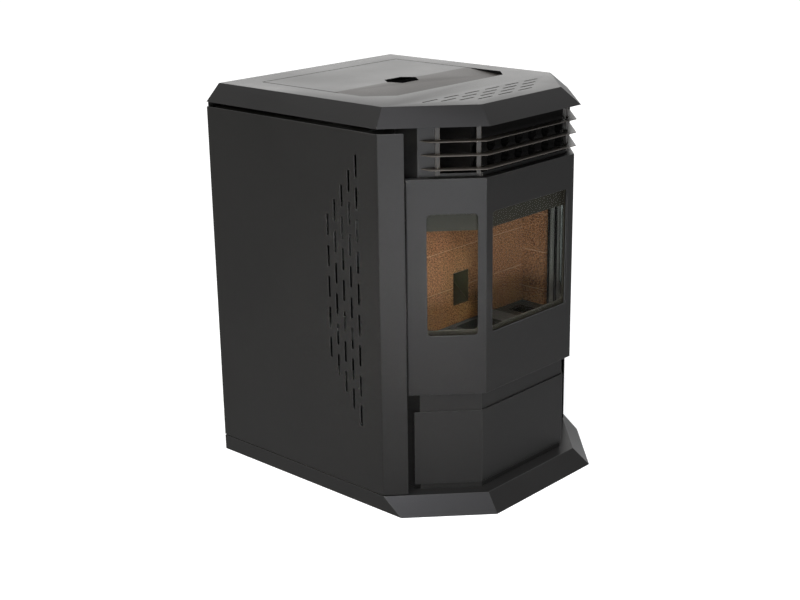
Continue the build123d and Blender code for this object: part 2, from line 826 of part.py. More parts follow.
def chute_profile(wall):
    """Side view of the chute, from under the screw's tube down to the firebox, thinned by wall."""
    (d0, z0), (d1, z1) = chute_slope
    up_d, up_z = -auger_tube_radius * auger_sin, auger_tube_radius * auger_cos
    along_d, along_z = wall * auger_cos, wall * auger_sin
    return [(d0 + along_d, z0 + along_z), (d0 + along_d + up_d, z0 + along_z + up_z),
            (d1 - along_d + up_d, z1 - along_z + up_z), (d1 - along_d, z1 - along_z - wall / 2),
            (chute_end + wall, chute_top - wall - chute_lip), (chute_end + wall, chute_bottom + wall + chute_lip)]


with BuildPart() as feed_chute:
    profile(chute_profile(0), -chute_half_width, chute_half_width)
    profile(chute_profile(chute_wall), -chute_half_width + chute_wall, chute_half_width - chute_wall,
            Mode.SUBTRACT)
    with BuildSketch(auger_plane):
        Circle(auger_tube_radius)
    extrude(amount=auger_length, mode=Mode.SUBTRACT)
keep("feed_chute", feed_chute.part)

with BuildPart() as auger_tube:
    with BuildSketch(auger_plane):
        Circle(auger_tube_radius)
    extrude(amount=auger_length)
    profile([(throat_back, auger_line(throat_back, 0)), (throat_front, auger_line(throat_front, 0)),
             (throat_front, throat_top), (throat_back, throat_top)], -throat_half_width, throat_half_width)
    throat_depths = (throat_back + throat_wall, throat_front - throat_wall)
    profile([(throat_depths[0], auger_line(throat_back, throat_lap)),
             (throat_depths[1], auger_line(throat_front, throat_lap)),
             (throat_depths[1], throat_top + cut_over), (throat_depths[0], throat_top + cut_over)],
            throat_wall - throat_half_width, throat_half_width - throat_wall, Mode.SUBTRACT)
    with BuildSketch(auger_plane.offset(auger_tube_wall)):
        Circle(auger_tube_radius - auger_tube_wall)
    extrude(amount=auger_length - 2 * auger_tube_wall, mode=Mode.SUBTRACT)
    with BuildSketch(auger_plane):
        Circle(auger_shaft_radius + running_fit)
    extrude(amount=auger_length, mode=Mode.SUBTRACT)
    profile(chute_profile(chute_wall)[:4], -chute_half_width + chute_wall, chute_half_width - chute_wall,
            Mode.SUBTRACT)
keep("auger_tube", auger_tube.part)

flight_radius = auger_tube_radius - auger_tube_wall - auger_play
flight_start = auger_tube_wall + flight_foot_gap
flight_end = auger_length - auger_tube_wall - flight_head_gap
flight_root = auger_shaft_radius - flight_root_lap

with BuildPart() as flight:
    with BuildLine():
        Helix(pitch=auger_pitch, height=flight_end - flight_start, radius=auger_shaft_radius)
    with BuildSketch(Plane.XZ):
        with Locations(((flight_root + flight_radius) / 2, 0)):
            Rectangle(flight_radius - flight_root, auger_flight)
    sweep(is_frenet=True)

with BuildPart() as auger_screw:
    with BuildSketch(auger_plane.offset(-shaft_tail)):
        Circle(auger_shaft_radius)
    extrude(amount=auger_length + shaft_tail)
    add(auger_plane.offset(flight_start).location * flight.part)
keep("auger_screw", auger_screw.part)

with BuildPart() as auger_gearmotor:
    with BuildSketch(auger_plane.offset(-gearbox_length)):
        RectangleRounded(2 * gearbox_half, 2 * gearbox_half, gearbox_round)
    extrude(amount=gearbox_length)
    with BuildSketch(auger_plane.offset(-gearbox_length)):
        Circle(gearmotor_radius)
    extrude(amount=-gearmotor_length)
    with BuildSketch(auger_plane):
        Circle(auger_shaft_radius + running_fit)
    extrude(amount=-shaft_tail - side_play, mode=Mode.SUBTRACT)
keep("auger_gearmotor", auger_gearmotor.part)

# ---------------------------------------------------------------- front casing and louvre
casing_inner = casing_half_width - sheet
seal_depth = shell_front + sheet + seal_radius
bay_cut = (side_brick_front, bay_depth)

with BuildPart() as front_casing:
    prism(bay(casing_inset, casing_half_width, back=casing_return_depth - sheet), base_height, casing_top)
    prism(bay(casing_inset + sheet, casing_inner, back=casing_return_depth - 2 * sheet),
          base_height - sheet, casing_top + sheet, Mode.SUBTRACT)
    block((-louvre_opening_half, louvre_opening_half), bay_cut, (louvre_opening_bottom, louvre_opening_top),
          Mode.SUBTRACT)
    block((-firebox_opening_half, firebox_opening_half), bay_cut, (firebox_opening_bottom, firebox_opening_top),
          Mode.SUBTRACT)
    block((-ash_opening_half, ash_opening_half), bay_cut, (ash_opening_bottom, ash_opening_top), Mode.SUBTRACT)
    prism(strip(casing_inset, casing_inset + louvre_lip, louvre_opening_half),
          louvre_opening_bottom - sheet, louvre_opening_bottom)
    for side in (-1, 1):
        wing = sorted((side * casing_inner, side * (case_half_width - sheet)))
        block(wing, (casing_return_depth - sheet, casing_return_depth), (base_height, panel_top))
        seal_lip = sorted((side * (seal_half_width - seal_radius), side * casing_inner))
        block(seal_lip, (shell_front, shell_front + sheet), (rope_bottom, rope_top))
keep("front_casing", front_casing.part)

with BuildPart() as louvre_grille:
    for blade in range(blade_count):
        z = blade_lowest + blade * blade_pitch
        prism(strip(blade_outer_inset, casing_inset, blade_half_width), z, z + blade_thickness)
        prism(strip(casing_inset, blade_inner_inset, louvre_opening_half - blade_play), z, z + blade_thickness)
    for side in (-1, 1):
        for post_x in post_positions:
            along = (door_half_width - post_x - (casing_inset - door_inset) * slant_sin) / slant_cos
            middle = (louvre_opening_bottom + louvre_opening_top) / 2
            with BuildSketch(facet_plane(side, along, casing_inset, middle)):
                Rectangle(post_width, louvre_opening_top - louvre_opening_bottom + 2 * post_lap)
            extrude(amount=casing_inset - post_inset)
keep("louvre_grille", louvre_grille.part)

# ---------------------------------------------------------------- firebox
shell_inner = shell_half_width - shell_side
brick_inner = shell_inner - side_brick_thickness
lining_back = shell_back + shell_plate
pot_back = pot_depth - pot_half_depth
air_box_depths = (pot_depth - air_box_half_depth, pot_depth + air_box_half_depth)

with BuildPart() as firebox_shell:
    block((-shell_half_width, shell_half_width), (shell_back, lining_back), (base_height, shell_top))
    for side in (-1, 1):
        wall = sorted((side * shell_inner, side * shell_half_width))
        ledge = sorted((side * (shell_inner - hearth_ledge), side * shell_inner))
        runner = sorted((side * (pan_half_width - hearth_ledge), side * shell_inner))
        inside = (lining_back, shell_front)
        block(wall, (shell_back, shell_front), (base_height, shell_top))
        block(ledge, inside, (hearth_height - hearth_plate_thickness - shell_plate,
                              hearth_height - hearth_plate_thickness))
        block(runner, inside, (pan_bottom - runner_gap - shell_side, pan_bottom - runner_gap))
    prism(bay(casing_inset + sheet, shell_half_width, back=shell_back), shell_top - shell_plate, shell_top)
    block((-exchanger_half_width + exchanger_rim, exchanger_half_width - exchanger_rim),
          (lining_back + exchanger_rim, exchanger_front - exchanger_rim),
          (shell_top - 2 * shell_plate, shell_top + shell_plate), Mode.SUBTRACT)
    profile(chute_profile(0), -chute_half_width, chute_half_width, Mode.SUBTRACT)
    round_y(intake_x, intake_height, intake_pipe_radius, 0, lining_back + shell_plate, Mode.SUBTRACT)
    block(smoke_port_x, (shell_back - shell_plate, lining_back + shell_plate), smoke_port_z, Mode.SUBTRACT)
keep("firebox_shell", firebox_shell.part)

with BuildPart() as heat_exchanger:
    tube_spots = [(tube_pitch * (i - (tube_count - 1) / 2), z) for z in tube_heights for i in range(tube_count)]
    block((-exchanger_half_width, exchanger_half_width), (shell_back, exchanger_front), (shell_top, exchanger_top))
    block((-exchanger_half_width + tube_wall, exchanger_half_width - tube_wall),
          (shell_back + shell_side, exchanger_front - shell_side), (shell_top - sheet, exchanger_top - sheet),
          Mode.SUBTRACT)
    for x, z in tube_spots:
        round_y(x, z, tube_radius, shell_back, exchanger_front)
    for x, z in tube_spots:
        round_y(x, z, tube_radius - tube_wall, shell_back - sheet, exchanger_front + sheet, Mode.SUBTRACT)
keep("heat_exchanger", heat_exchanger.part)

with BuildPart() as firebox_seals:
    for side in (-1, 1):
        with BuildSketch(Plane.XY.offset(rope_bottom)):
            with Locations((side * seal_half_width, at(seal_depth))):
                Circle(seal_radius)
        extrude(amount=rope_top - rope_bottom)
keep("firebox_seals", firebox_seals.part)

with BuildPart() as hearth_plate:
    plate_z = (hearth_height - hearth_plate_thickness, hearth_height)
    prism(bay(hearth_inset, seal_half_width - seal_radius - brick_play, back=lining_back), *plate_z)
    block((-shell_inner, shell_inner), (lining_back, shell_front), plate_z)
    block((-air_box_half_width, air_box_half_width), air_box_depths,
          (plate_z[0] - sheet, plate_z[1] + sheet), Mode.SUBTRACT)
    for side in (-1, 1):
        slot = sorted((side * (ash_slot_centre - ash_slot_half), side * (ash_slot_centre + ash_slot_half)))
        block(slot, ash_slot_depths, (plate_z[0] - sheet, plate_z[1] + sheet), Mode.SUBTRACT)
keep("hearth_plate", hearth_plate.part)

with BuildPart() as back_brick:
    block((-brick_inner, brick_inner), (lining_back, brick_face), (hearth_height, brick_top))
    profile(chute_profile(0), -chute_half_width, chute_half_width, Mode.SUBTRACT)
    block((-chute_half_width, chute_half_width), (chute_end - chute_lip, brick_face + cut_over),
          (chute_bottom, chute_top), Mode.SUBTRACT)
    groove_depths = (brick_face - brick_groove / 2, brick_face + brick_groove)
    for z in back_grooves:
        block((-brick_inner - cut_over, brick_inner + cut_over), groove_depths,
              (z - brick_groove / 2, z + brick_groove / 2), Mode.SUBTRACT)
keep("back_brick", back_brick.part)


def side_brick(side):
    """Lining of one side of the firebox, with the grooves of its joints."""
    with BuildPart() as brick:
        block(sorted((side * brick_inner, side * shell_inner)), (lining_back, side_brick_front),
              (hearth_height, brick_top))
        groove = sorted((side * (brick_inner - brick_groove), side * (brick_inner + brick_groove / 2)))
        for z in side_grooves:
            block(groove, (lining_back - cut_over, side_brick_front + cut_over),
                  (z - brick_groove / 2, z + brick_groove / 2), Mode.SUBTRACT)
    return brick.part


keep("left_brick", side_brick(-1))
keep("right_brick", side_brick(1))

with BuildPart() as baffle_plate:
    prism(bay(baffle_inset, brick_inner, back=lining_back, front_inset=bay_depth - baffle_front),
          brick_top, brick_top + baffle_thickness)
keep("baffle_plate", baffle_plate.part)

# ---------------------------------------------------------------- burn pot and its air
with BuildPart() as pot_cradle:
    cradle_top = hearth_height + cradle_thickness
    block((-cradle_half_width, cradle_half_width), (pot_depth - cradle_half_depth, pot_depth + cradle_half_depth),
          (hearth_height, cradle_top))
    block((-air_box_half_width, air_box_half_width), air_box_depths, (air_box_bottom, hearth_height))
    block((-air_box_half_width + duct_wall, air_box_half_width - duct_wall),
          (air_box_depths[0] + duct_wall, air_box_depths[1] - duct_wall),
          (air_box_bottom + duct_wall, hearth_height - duct_wall), Mode.SUBTRACT)
    block((-pot_half_width - pot_play, pot_half_width + pot_play),
          (pot_back - pot_play, pot_depth + pot_half_depth + pot_play),
          (hearth_height - 2 * duct_wall, cradle_top + cut_over), Mode.SUBTRACT)
    round_y(intake_x, intake_height, intake_pipe_radius, shell_back, pot_back, Mode.SUBTRACT)
    round_y(0, igniter_height, igniter_radius, shell_back, pot_back, Mode.SUBTRACT)
keep("pot_cradle", pot_cradle.part)

with BuildPart() as burn_pot:
    block((-pot_half_width, pot_half_width), (pot_back, pot_depth + pot_half_depth), (pot_bottom, pot_top))
    block((-pot_half_width - pot_flange, pot_half_width + pot_flange),
          (pot_back - pot_flange, pot_depth + pot_half_depth + pot_flange), (cradle_top, cradle_top + pot_wall))
    block((-pot_half_width + pot_wall, pot_half_width - pot_wall),
          (pot_back + pot_wall, pot_depth + pot_half_depth - pot_wall), (pot_bottom + pot_wall, pot_top + cut_over),
          Mode.SUBTRACT)
    with BuildSketch(Plane.XY.offset(pot_bottom - cut_over)):
        with Locations((0, at(pot_depth))):
            with GridLocations(pot_hole_pitch, pot_hole_pitch, pot_hole_columns, pot_hole_rows):
                Circle(pot_hole_radius)
    extrude(amount=pot_wall + 2 * cut_over, mode=Mode.SUBTRACT)
    round_y(0, igniter_height, igniter_radius, pot_back - cut_over, pot_back + pot_wall + cut_over, Mode.SUBTRACT)
keep("burn_pot", burn_pot.part)

with BuildPart() as igniter:
    round_y(0, igniter_height, igniter_radius, lining_back + igniter_radius, pot_back - pot_play)
    round_y(0, igniter_height, 2 * igniter_radius, lining_back + igniter_radius, air_box_depths[0] - pot_play)
keep("igniter", igniter.part)

with BuildPart() as air_intake_pipe:
    round_y(intake_x, intake_height, intake_radius, -intake_reach, -spigot_start)
    round_y(intake_x, intake_height, intake_pipe_radius, -spigot_start, air_box_depths[0] + duct_wall)
    round_y(intake_x, intake_height, intake_radius + intake_collar, sheet / 2, sheet)
    round_y(intake_x, intake_height, intake_pipe_radius - intake_wall, -intake_reach - cut_over, pot_back,
            Mode.SUBTRACT)
keep("air_intake_pipe", air_intake_pipe.part)

# ---------------------------------------------------------------- door
door_back = door_inset + door_plate + door_depth
tape_inset = door_inset + door_plate + glass_tape
glass_inset = tape_inset + glass
liner_inset = glass_inset + liner
window_middle = (window_bottom + window_top) / 2
window_height = window_top - window_bottom
hinge_spot = on_facet(-1, hinge_along, door_inset + hinge_in)
ear_half = hinge_barrel_length / 2 + side_play
window_widths = {-1: side_window_width, 0: 2 * front_window_half, 1: side_window_width}


def window_plane(side, inset):
    """Plane at the middle of a window, Z outwards. side 0 is the front window."""
    if side == 0:
        return Plane(origin=(0, at(bay_depth - inset), window_middle), x_dir=(1, 0, 0), z_dir=(0, -1, 0))
    return facet_plane(side, side_window_start + side_window_width / 2, inset, window_middle)


with BuildPart() as door_frame:
    prism(band(door_inset, door_inset + door_plate, 0), door_bottom, door_top)
    for z in (door_bottom, door_top - door_plate):
        prism(band(door_inset + door_plate / 2, door_back, 0), z, z + door_plate)
    for side in (-1, 1):
        prism([on_facet(side, 0, door_inset), on_facet(side, door_plate, door_inset),
               on_facet(side, door_plate, door_back - door_plate), on_facet(side, 0, door_back - door_plate)],
              door_bottom, door_top)
    outer_corners = [on_facet(side, 0, door_inset) for side in (-1, 1)]
    uprights = door_frame.edges().filter_by(Axis.Z)
    corner_edges = [
        edge for edge in uprights
        if any(hypot(edge.center().X - x, edge.center().Y - y) < 0.1 for x, y in outer_corners)
    ]
    fillet(corner_edges, door_corner_round)
    for side, width in window_widths.items():
        with BuildSketch(window_plane(side, door_inset + 2 * door_plate)):
            RectangleRounded(width, window_height, window_corner)
        extrude(amount=3 * door_plate, mode=Mode.SUBTRACT)
    for z in hinge_heights:
        notch = (-cut_over, door_plate + cut_over)
        prism([on_facet(-1, notch[0], door_inset + door_plate), on_facet(-1, notch[1], door_inset + door_plate),
               on_facet(-1, notch[1], door_back + cut_over), on_facet(-1, notch[0], door_back + cut_over)],
              z - hinge_notch_half, z + hinge_notch_half, Mode.SUBTRACT)
        low, high = z - hinge_barrel_length / 2, z + hinge_barrel_length / 2
        with BuildSketch(Plane.XY.offset(low)):
            Polygon(on_facet(-1, hinge_along - hinge_barrel_radius, door_inset + door_plate / 2),
                    on_facet(-1, hinge_along + hinge_barrel_radius, door_inset + door_plate / 2),
                    on_facet(-1, hinge_along + hinge_barrel_radius, door_inset + hinge_in),
                    on_facet(-1, hinge_along - hinge_barrel_radius, door_inset + hinge_in), align=None)
            with Locations(hinge_spot):
                Circle(hinge_barrel_radius)
                Circle(hinge_pin_radius + running_fit, mode=Mode.SUBTRACT)
        extrude(amount=high - low)
    with BuildSketch(facet_plane(1, handle_along, door_inset + 2 * door_plate, handle_height)):
        Circle(spindle_radius + running_fit)
    extrude(amount=3 * door_plate, mode=Mode.SUBTRACT)
keep("door_frame", door_frame.part)


def pane(side):
    """One pane of glass, lapping over the edges of its window."""
    with BuildPart() as sheet_glass:
        with BuildSketch(window_plane(side, glass_inset)):
            RectangleRounded(window_widths[side] + 2 * glass_lap, window_height + 2 * glass_lap, glass_corner)
        extrude(amount=glass)
    return sheet_glass.part


keep("left_glass", pane(-1))
keep("front_glass", pane(0))
keep("right_glass", pane(1))

with BuildPart() as glass_tapes:
    for side, width in window_widths.items():
        outside = 2 * (glass_lap - tape_edge)
        with BuildSketch(window_plane(side, tape_inset)):
            RectangleRounded(width + outside, window_height + outside, window_corner)
            RectangleRounded(width + outside - 2 * tape_width, window_height + outside - 2 * tape_width,
                             window_corner - tape_width, mode=Mode.SUBTRACT)
        extrude(amount=glass_tape)
keep("glass_tapes", glass_tapes.part)

liner_low, liner_high = window_bottom - glass_lap - liner_rim, window_top + glass_lap + liner_rim

with BuildPart() as glass_retainer:
    prism(band(glass_inset, liner_inset, liner_along), liner_low, liner_high)
    for z in (liner_low, liner_high - liner):
        prism(band(door_inset + door_plate, liner_inset, liner_along), z, z + liner)
    for side, width in window_widths.items():
        with BuildSketch(window_plane(side, liner_inset + liner)):
            with Locations((0, liner_sill / 2)):
                RectangleRounded(width + liner, window_height + liner - liner_sill, window_corner)
        extrude(amount=3 * liner, mode=Mode.SUBTRACT)
keep("glass_retainer", glass_retainer.part)

with BuildPart() as door_deflector:
    prism(band(liner_inset, liner_inset + deflector_thickness, side_window_start),
          deflector_bottom, deflector_bottom + deflector_height)
keep("door_deflector", door_deflector.part)

with BuildPart() as door_gasket:
    prism(band(door_inset + door_plate, casing_inset - rope_gap, rope_along), rope_bottom, rope_top)
    prism(band(door_inset, casing_inset + rope_gap, rope_along + rope), rope_bottom + rope, rope_top - rope,
          Mode.SUBTRACT)
keep("door_gasket", door_gasket.part)

with BuildPart() as door_hinges:
    hinge_x, hinge_y = hinge_spot
    hinge_depth = back_y - hinge_y
    for z in hinge_heights:
        block((-casing_half_width - hinge_plate, -casing_half_width),
              (hinge_depth - hinge_leaf_back, hinge_depth + hinge_barrel_radius - hinge_face_gap),
              (z - ear_half - hinge_leaf_lap, z + ear_half + hinge_leaf_lap))
        for low in (z - ear_half - hinge_plate, z + ear_half):
            block((hinge_x, -casing_half_width - hinge_plate / 2),
                  (hinge_depth - hinge_barrel_radius, hinge_depth + hinge_barrel_radius - hinge_face_gap),
                  (low, low + hinge_plate))
            with BuildSketch(Plane.XY.offset(low)):
                with Locations(hinge_spot):
                    Circle(hinge_barrel_radius)
            extrude(amount=hinge_plate)
        with BuildSketch(Plane.XY.offset(z - ear_half - hinge_plate - hinge_pin_end)):
            with Locations(hinge_spot):
                Circle(hinge_pin_radius)
        extrude(amount=2 * (ear_half + hinge_plate + hinge_pin_end))
keep("door_hinges", door_hinges.part)

with BuildPart() as door_handle:
    with BuildSketch(facet_plane(1, handle_along, door_inset - handle_stand_off, handle_height)):
        with Locations((0, -(handle_length - handle_width) / 2)):
            SlotOverall(handle_length, handle_width, rotation=90)
    extrude(amount=handle_thickness)
    fillet(door_handle.faces().sort_by_distance(
        facet_plane(1, handle_along, door_inset - handle_stand_off - 2 * handle_thickness,
                    handle_height - handle_length / 2).origin)[0].edges(), handle_round)
    with BuildSketch(facet_plane(1, handle_along, door_inset - handle_stand_off, handle_height)):
        Circle(spindle_radius)
    extrude(amount=-handle_stand_off - latch_depth - latch_thickness)
keep("door_handle", door_handle.part)

with BuildPart() as latch_cam:
    with BuildSketch(facet_plane(1, handle_along, door_inset + latch_depth + latch_thickness, handle_height)):
        Circle(latch_hub_radius)
        with Locations((latch_tongue / 2, 0)):
            Rectangle(latch_tongue, latch_width)
        Circle(spindle_radius, mode=Mode.SUBTRACT)
    extrude(amount=latch_thickness)
keep("latch_cam", latch_cam.part)

with BuildPart() as door_catch:
    finger_front = door_inset + latch_depth - catch_gap
    catch_top = handle_height - latch_hub_radius - catch_gap_under_hub
    prism([on_facet(1, catch_along, finger_front - catch_thickness),
           on_facet(1, catch_reach, finger_front - catch_thickness),
           on_facet(1, catch_reach, finger_front), on_facet(1, catch_along, finger_front)],
          handle_height - latch_tongue - catch_gap_under_hub, catch_top)
    block((casing_half_width - catch_clear, casing_half_width), (side_depth, bay_depth),
          (handle_height - 2 * latch_tongue, handle_height), Mode.SUBTRACT)
    block((casing_half_width, casing_half_width + sheet), (side_depth, seal_depth + catch_foot),
          (handle_height - 2 * latch_tongue, catch_top))
keep("door_catch", door_catch.part)

# ---------------------------------------------------------------- ash drawer
with BuildPart() as ash_drawer_front:
    prism(strip(ash_inset, ash_inset + sheet, ash_half_width), ash_bottom, ash_top)
keep("ash_drawer_front", ash_drawer_front.part)

with BuildPart() as ash_pan:
    prism(bay(ash_inset + sheet, pan_half_width, back=pan_back), pan_bottom, pan_bottom + pan_height)
    prism(bay(ash_inset + sheet + pan_wall, pan_half_width - pan_wall, back=pan_back + pan_wall),
          pan_bottom + pan_wall, pan_bottom + pan_height + cut_over, Mode.SUBTRACT)
keep("ash_pan", ash_pan.part)

# ---------------------------------------------------------------- exhaust blower, smoke duct and flue
exhaust_x = (flue_x - exhaust_half_width, flue_x + exhaust_half_width)
outlet_low = exhaust_height - exhaust_outlet_drop
outlet_high = exhaust_height + exhaust_radius
flue_flange_half = flue_radius + flue_flange_lap

with BuildPart() as exhaust_housing:
    round_x(exhaust_depth, exhaust_height, exhaust_radius, *exhaust_x)
    block(exhaust_x, (flue_flange_depth, exhaust_depth), (outlet_low, outlet_high))
    block((flue_x - flue_flange_half, flue_x + flue_flange_half), (flue_flange_depth, flue_flange_depth + fan_wall),
          (flue_height - flue_flange_half, flue_height + flue_flange_half))
    block((exhaust_x[0] + fan_foot_in, exhaust_x[1] - fan_foot_in),
          (exhaust_depth - exhaust_foot_half, exhaust_depth + exhaust_foot_half), (base_height, exhaust_height))
    round_x(exhaust_depth, exhaust_height, exhaust_radius - fan_wall, exhaust_x[0] + fan_wall,
            exhaust_x[1] - fan_wall, Mode.SUBTRACT)
    block((exhaust_x[0] + fan_wall, exhaust_x[1] - fan_wall), (flue_flange_depth - cut_over, exhaust_depth),
          (outlet_low + fan_wall, outlet_high - fan_wall), Mode.SUBTRACT)
    round_x(exhaust_depth, exhaust_height, exhaust_eye_radius, exhaust_x[1] - 2 * fan_wall,
            exhaust_x[1] + cut_over, Mode.SUBTRACT)
    round_x(exhaust_depth, exhaust_height, fan_shaft_radius + fan_shaft_gap, exhaust_x[0] - cut_over,
            exhaust_x[0] + 2 * fan_wall, Mode.SUBTRACT)
keep("exhaust_housing", exhaust_housing.part)


def fan_wheel(x_disc, x_ring, x_shaft, depth, height, radius, blade_height, blade_total):
    """Bladed wheel on a shaft along X: disc at one end, ring at the other."""
    step = fan_wall if x_ring > x_disc else -fan_wall
    with BuildPart() as wheel:
        round_x(depth, height, radius, *sorted((x_disc, x_disc + step)))
        round_x(depth, height, radius, *sorted((x_ring - step, x_ring)))
        round_x(depth, height, radius - blade_height, *sorted((x_ring - 2 * step, x_ring + step)), Mode.SUBTRACT)
        low, high = sorted((x_disc + step / 2, x_ring - step / 2))
        with BuildSketch(Plane.YZ.offset(low)):
            with Locations((at(depth), height)):
                with PolarLocations(radius - blade_height / 2, blade_total):
                    Rectangle(blade_height - fan_blade_lap, fan_blade)
        extrude(amount=high - low)
        round_x(depth, height, 2.5 * fan_shaft_radius, *sorted((x_disc, x_disc + 6 * step)))
        round_x(depth, height, fan_shaft_radius, *sorted((x_shaft, x_disc + step)))
    return wheel.part


def fan_motor(x_face, x_end, depth, height, radius, shaft_end):
    """Motor along X with a bore for the shaft of its wheel."""
    with BuildPart() as motor:
        round_x(depth, height, radius, *sorted((x_face, x_end)))
        turn = 1 if x_end > x_face else -1
        round_x(depth, height, radius / 2, *sorted((x_end, x_end + turn * motor_boss)))
        round_x(depth, height, fan_shaft_radius + running_fit,
                *sorted((x_face - turn, shaft_end + turn * side_play)), Mode.SUBTRACT)
    return motor.part


exhaust_shaft_end = exhaust_x[0] - fan_shaft_end
keep("exhaust_wheel", fan_wheel(exhaust_x[0] + 2 * fan_wall, exhaust_x[1] - 2 * fan_wall, exhaust_shaft_end,
                                exhaust_depth, exhaust_height, exhaust_wheel_radius, exhaust_blade_height,
                                exhaust_blades))
keep("exhaust_motor", fan_motor(exhaust_x[0], exhaust_x[0] - exhaust_motor_length, exhaust_depth, exhaust_height,
                                exhaust_motor_radius, exhaust_shaft_end))

with BuildPart() as flue_outlet:
    round_y(flue_x, flue_height, flue_radius, -flue_reach, -spigot_start)
    round_y(flue_x, flue_height, flue_pipe_radius, -spigot_start, flue_flange_depth)
    round_y(flue_x, flue_height, flue_radius + flue_collar, sheet / 2, sheet)
    round_y(flue_x, flue_height, flue_pipe_radius - flue_wall, -flue_reach - cut_over,
            flue_flange_depth + cut_over, Mode.SUBTRACT)
keep("flue_outlet", flue_outlet.part)

smoke_low = exhaust_height - exhaust_eye_radius - smoke_eye_lap
smoke_high = exhaust_height + exhaust_eye_radius + smoke_eye_lap
smoke_back = exhaust_depth - exhaust_eye_radius - smoke_back_lap
smoke_inner = smoke_port_x[0] - smoke_port_lap
smoke_top = shell_top - smoke_port_lap

with BuildPart() as smoke_duct:
    block((exhaust_x[1], smoke_duct_outer), (smoke_back, shell_back), (smoke_low, smoke_high))
    block((smoke_inner, smoke_duct_outer), (duct_back, shell_back), (smoke_low, smoke_top))
    block((exhaust_x[1] + duct_wall, smoke_duct_outer - duct_wall),
          (smoke_back + duct_wall, shell_back - duct_wall), (smoke_low + duct_wall, smoke_high - duct_wall),
          Mode.SUBTRACT)
    block((smoke_inner + duct_wall, smoke_duct_outer - duct_wall), (duct_back + duct_wall, shell_back - duct_wall),
          (smoke_low + duct_wall, smoke_top - duct_wall), Mode.SUBTRACT)
    round_x(exhaust_depth, exhaust_height, exhaust_eye_radius, exhaust_x[1] - cut_over,
            exhaust_x[1] + 2 * duct_wall, Mode.SUBTRACT)
    block(smoke_port_x, (shell_back - 2 * duct_wall, shell_back + cut_over), smoke_port_z, Mode.SUBTRACT)
keep("smoke_duct", smoke_duct.part)

# ---------------------------------------------------------------- room-air blower and its duct
convection_x = (-convection_outer, -convection_inner)
convection_top = convection_height + convection_radius
convection_low = convection_top - 2 * duct_half_height

with BuildPart() as convection_housing:
    round_x(convection_depth, convection_height, convection_radius, *convection_x)
    block(convection_x, (convection_depth, convection_box_end), (convection_low, convection_top))
    block((convection_x[0] + 2 * fan_foot_in, convection_x[1] - 2 * fan_foot_in),
          (convection_depth - convection_foot_half, convection_depth + convection_foot_half),
          (base_height, convection_height))
    round_x(convection_depth, convection_height, convection_radius - fan_wall, convection_x[0] + fan_wall,
            convection_x[1] - fan_wall, Mode.SUBTRACT)
    block((convection_x[0] + fan_wall, convection_x[1] - fan_wall),
          (convection_depth, convection_box_end + cut_over), (convection_low + fan_wall, convection_top - fan_wall),
          Mode.SUBTRACT)
    round_x(convection_depth, convection_height, convection_eye_radius, convection_x[0] - cut_over,
            convection_x[0] + 2 * fan_wall, Mode.SUBTRACT)
    round_x(convection_depth, convection_height, fan_shaft_radius + fan_shaft_gap,
            convection_x[1] - 2 * fan_wall, convection_x[1] + cut_over, Mode.SUBTRACT)
keep("convection_housing", convection_housing.part)

convection_shaft_end = convection_x[1] + fan_shaft_end
keep("convection_wheel", fan_wheel(convection_x[1] - 2 * fan_wall, convection_x[0] + 2 * fan_wall,
                                   convection_shaft_end, convection_depth, convection_height,
                                   convection_wheel_radius, convection_blade_height, convection_blades))
keep("convection_motor", fan_motor(convection_x[1], convection_x[1] + convection_motor_length, convection_depth,
                                   convection_height, convection_motor_radius, convection_shaft_end))

plenum_low = tube_heights[0] - tube_radius - plenum_lap
plenum_high = tube_heights[-1] + tube_radius + plenum_lap

with BuildPart() as convection_duct:
    block(convection_x, (convection_box_end, shell_back), (convection_low, convection_top))
    block(convection_x, (duct_back, shell_back), (convection_low, plenum_high))
    block((convection_x[0], exchanger_half_width), (duct_back, shell_back), (plenum_low, plenum_high))
    block((convection_x[0] + duct_wall, convection_x[1] - duct_wall),
          (convection_box_end - cut_over, shell_back - duct_wall),
          (convection_low + duct_wall, convection_top - duct_wall), Mode.SUBTRACT)
    block((convection_x[0] + duct_wall, convection_x[1] - duct_wall),
          (duct_back + duct_wall, shell_back - duct_wall), (convection_low + duct_wall, plenum_high - duct_wall),
          Mode.SUBTRACT)
    block((convection_x[0] + duct_wall, exchanger_half_width - duct_wall),
          (duct_back + duct_wall, shell_back - duct_wall), (plenum_low + duct_wall, plenum_high - duct_wall),
          Mode.SUBTRACT)
    for x, z in tube_spots:
        round_y(x, z, tube_radius, shell_back - 2 * duct_wall, shell_back + cut_over, Mode.SUBTRACT)
keep("convection_duct", convection_duct.part)

# ---------------------------------------------------------------- controls
control_depth = sum(control_depths) / 2
bezel_face = case_half_width - sheet
bezel_in = bezel_face - bezel_thickness
button_spots = [control_depth + (i - (button_count - 1) / 2) * button_pitch for i in range(button_count)]

with BuildPart() as control_bezel:
    block((bezel_in, bezel_face), (control_depths[0] - control_lip, control_depths[1] + control_lip),
          (control_heights[0] - control_lip, control_heights[1] + control_lip))
    block((bezel_face - display_recess, bezel_face + cut_over),
          (control_depth - display_half_width, control_depth + display_half_width),
          (control_heights[1] - display_bottom, control_heights[1] - display_top), Mode.SUBTRACT)
    for depth in button_spots:
        half = button_size / 2 + button_gap
        block((bezel_in - cut_over, bezel_face + cut_over), (depth - half, depth + half),
              (button_height - half, button_height + half), Mode.SUBTRACT)
keep("control_bezel", control_bezel.part)

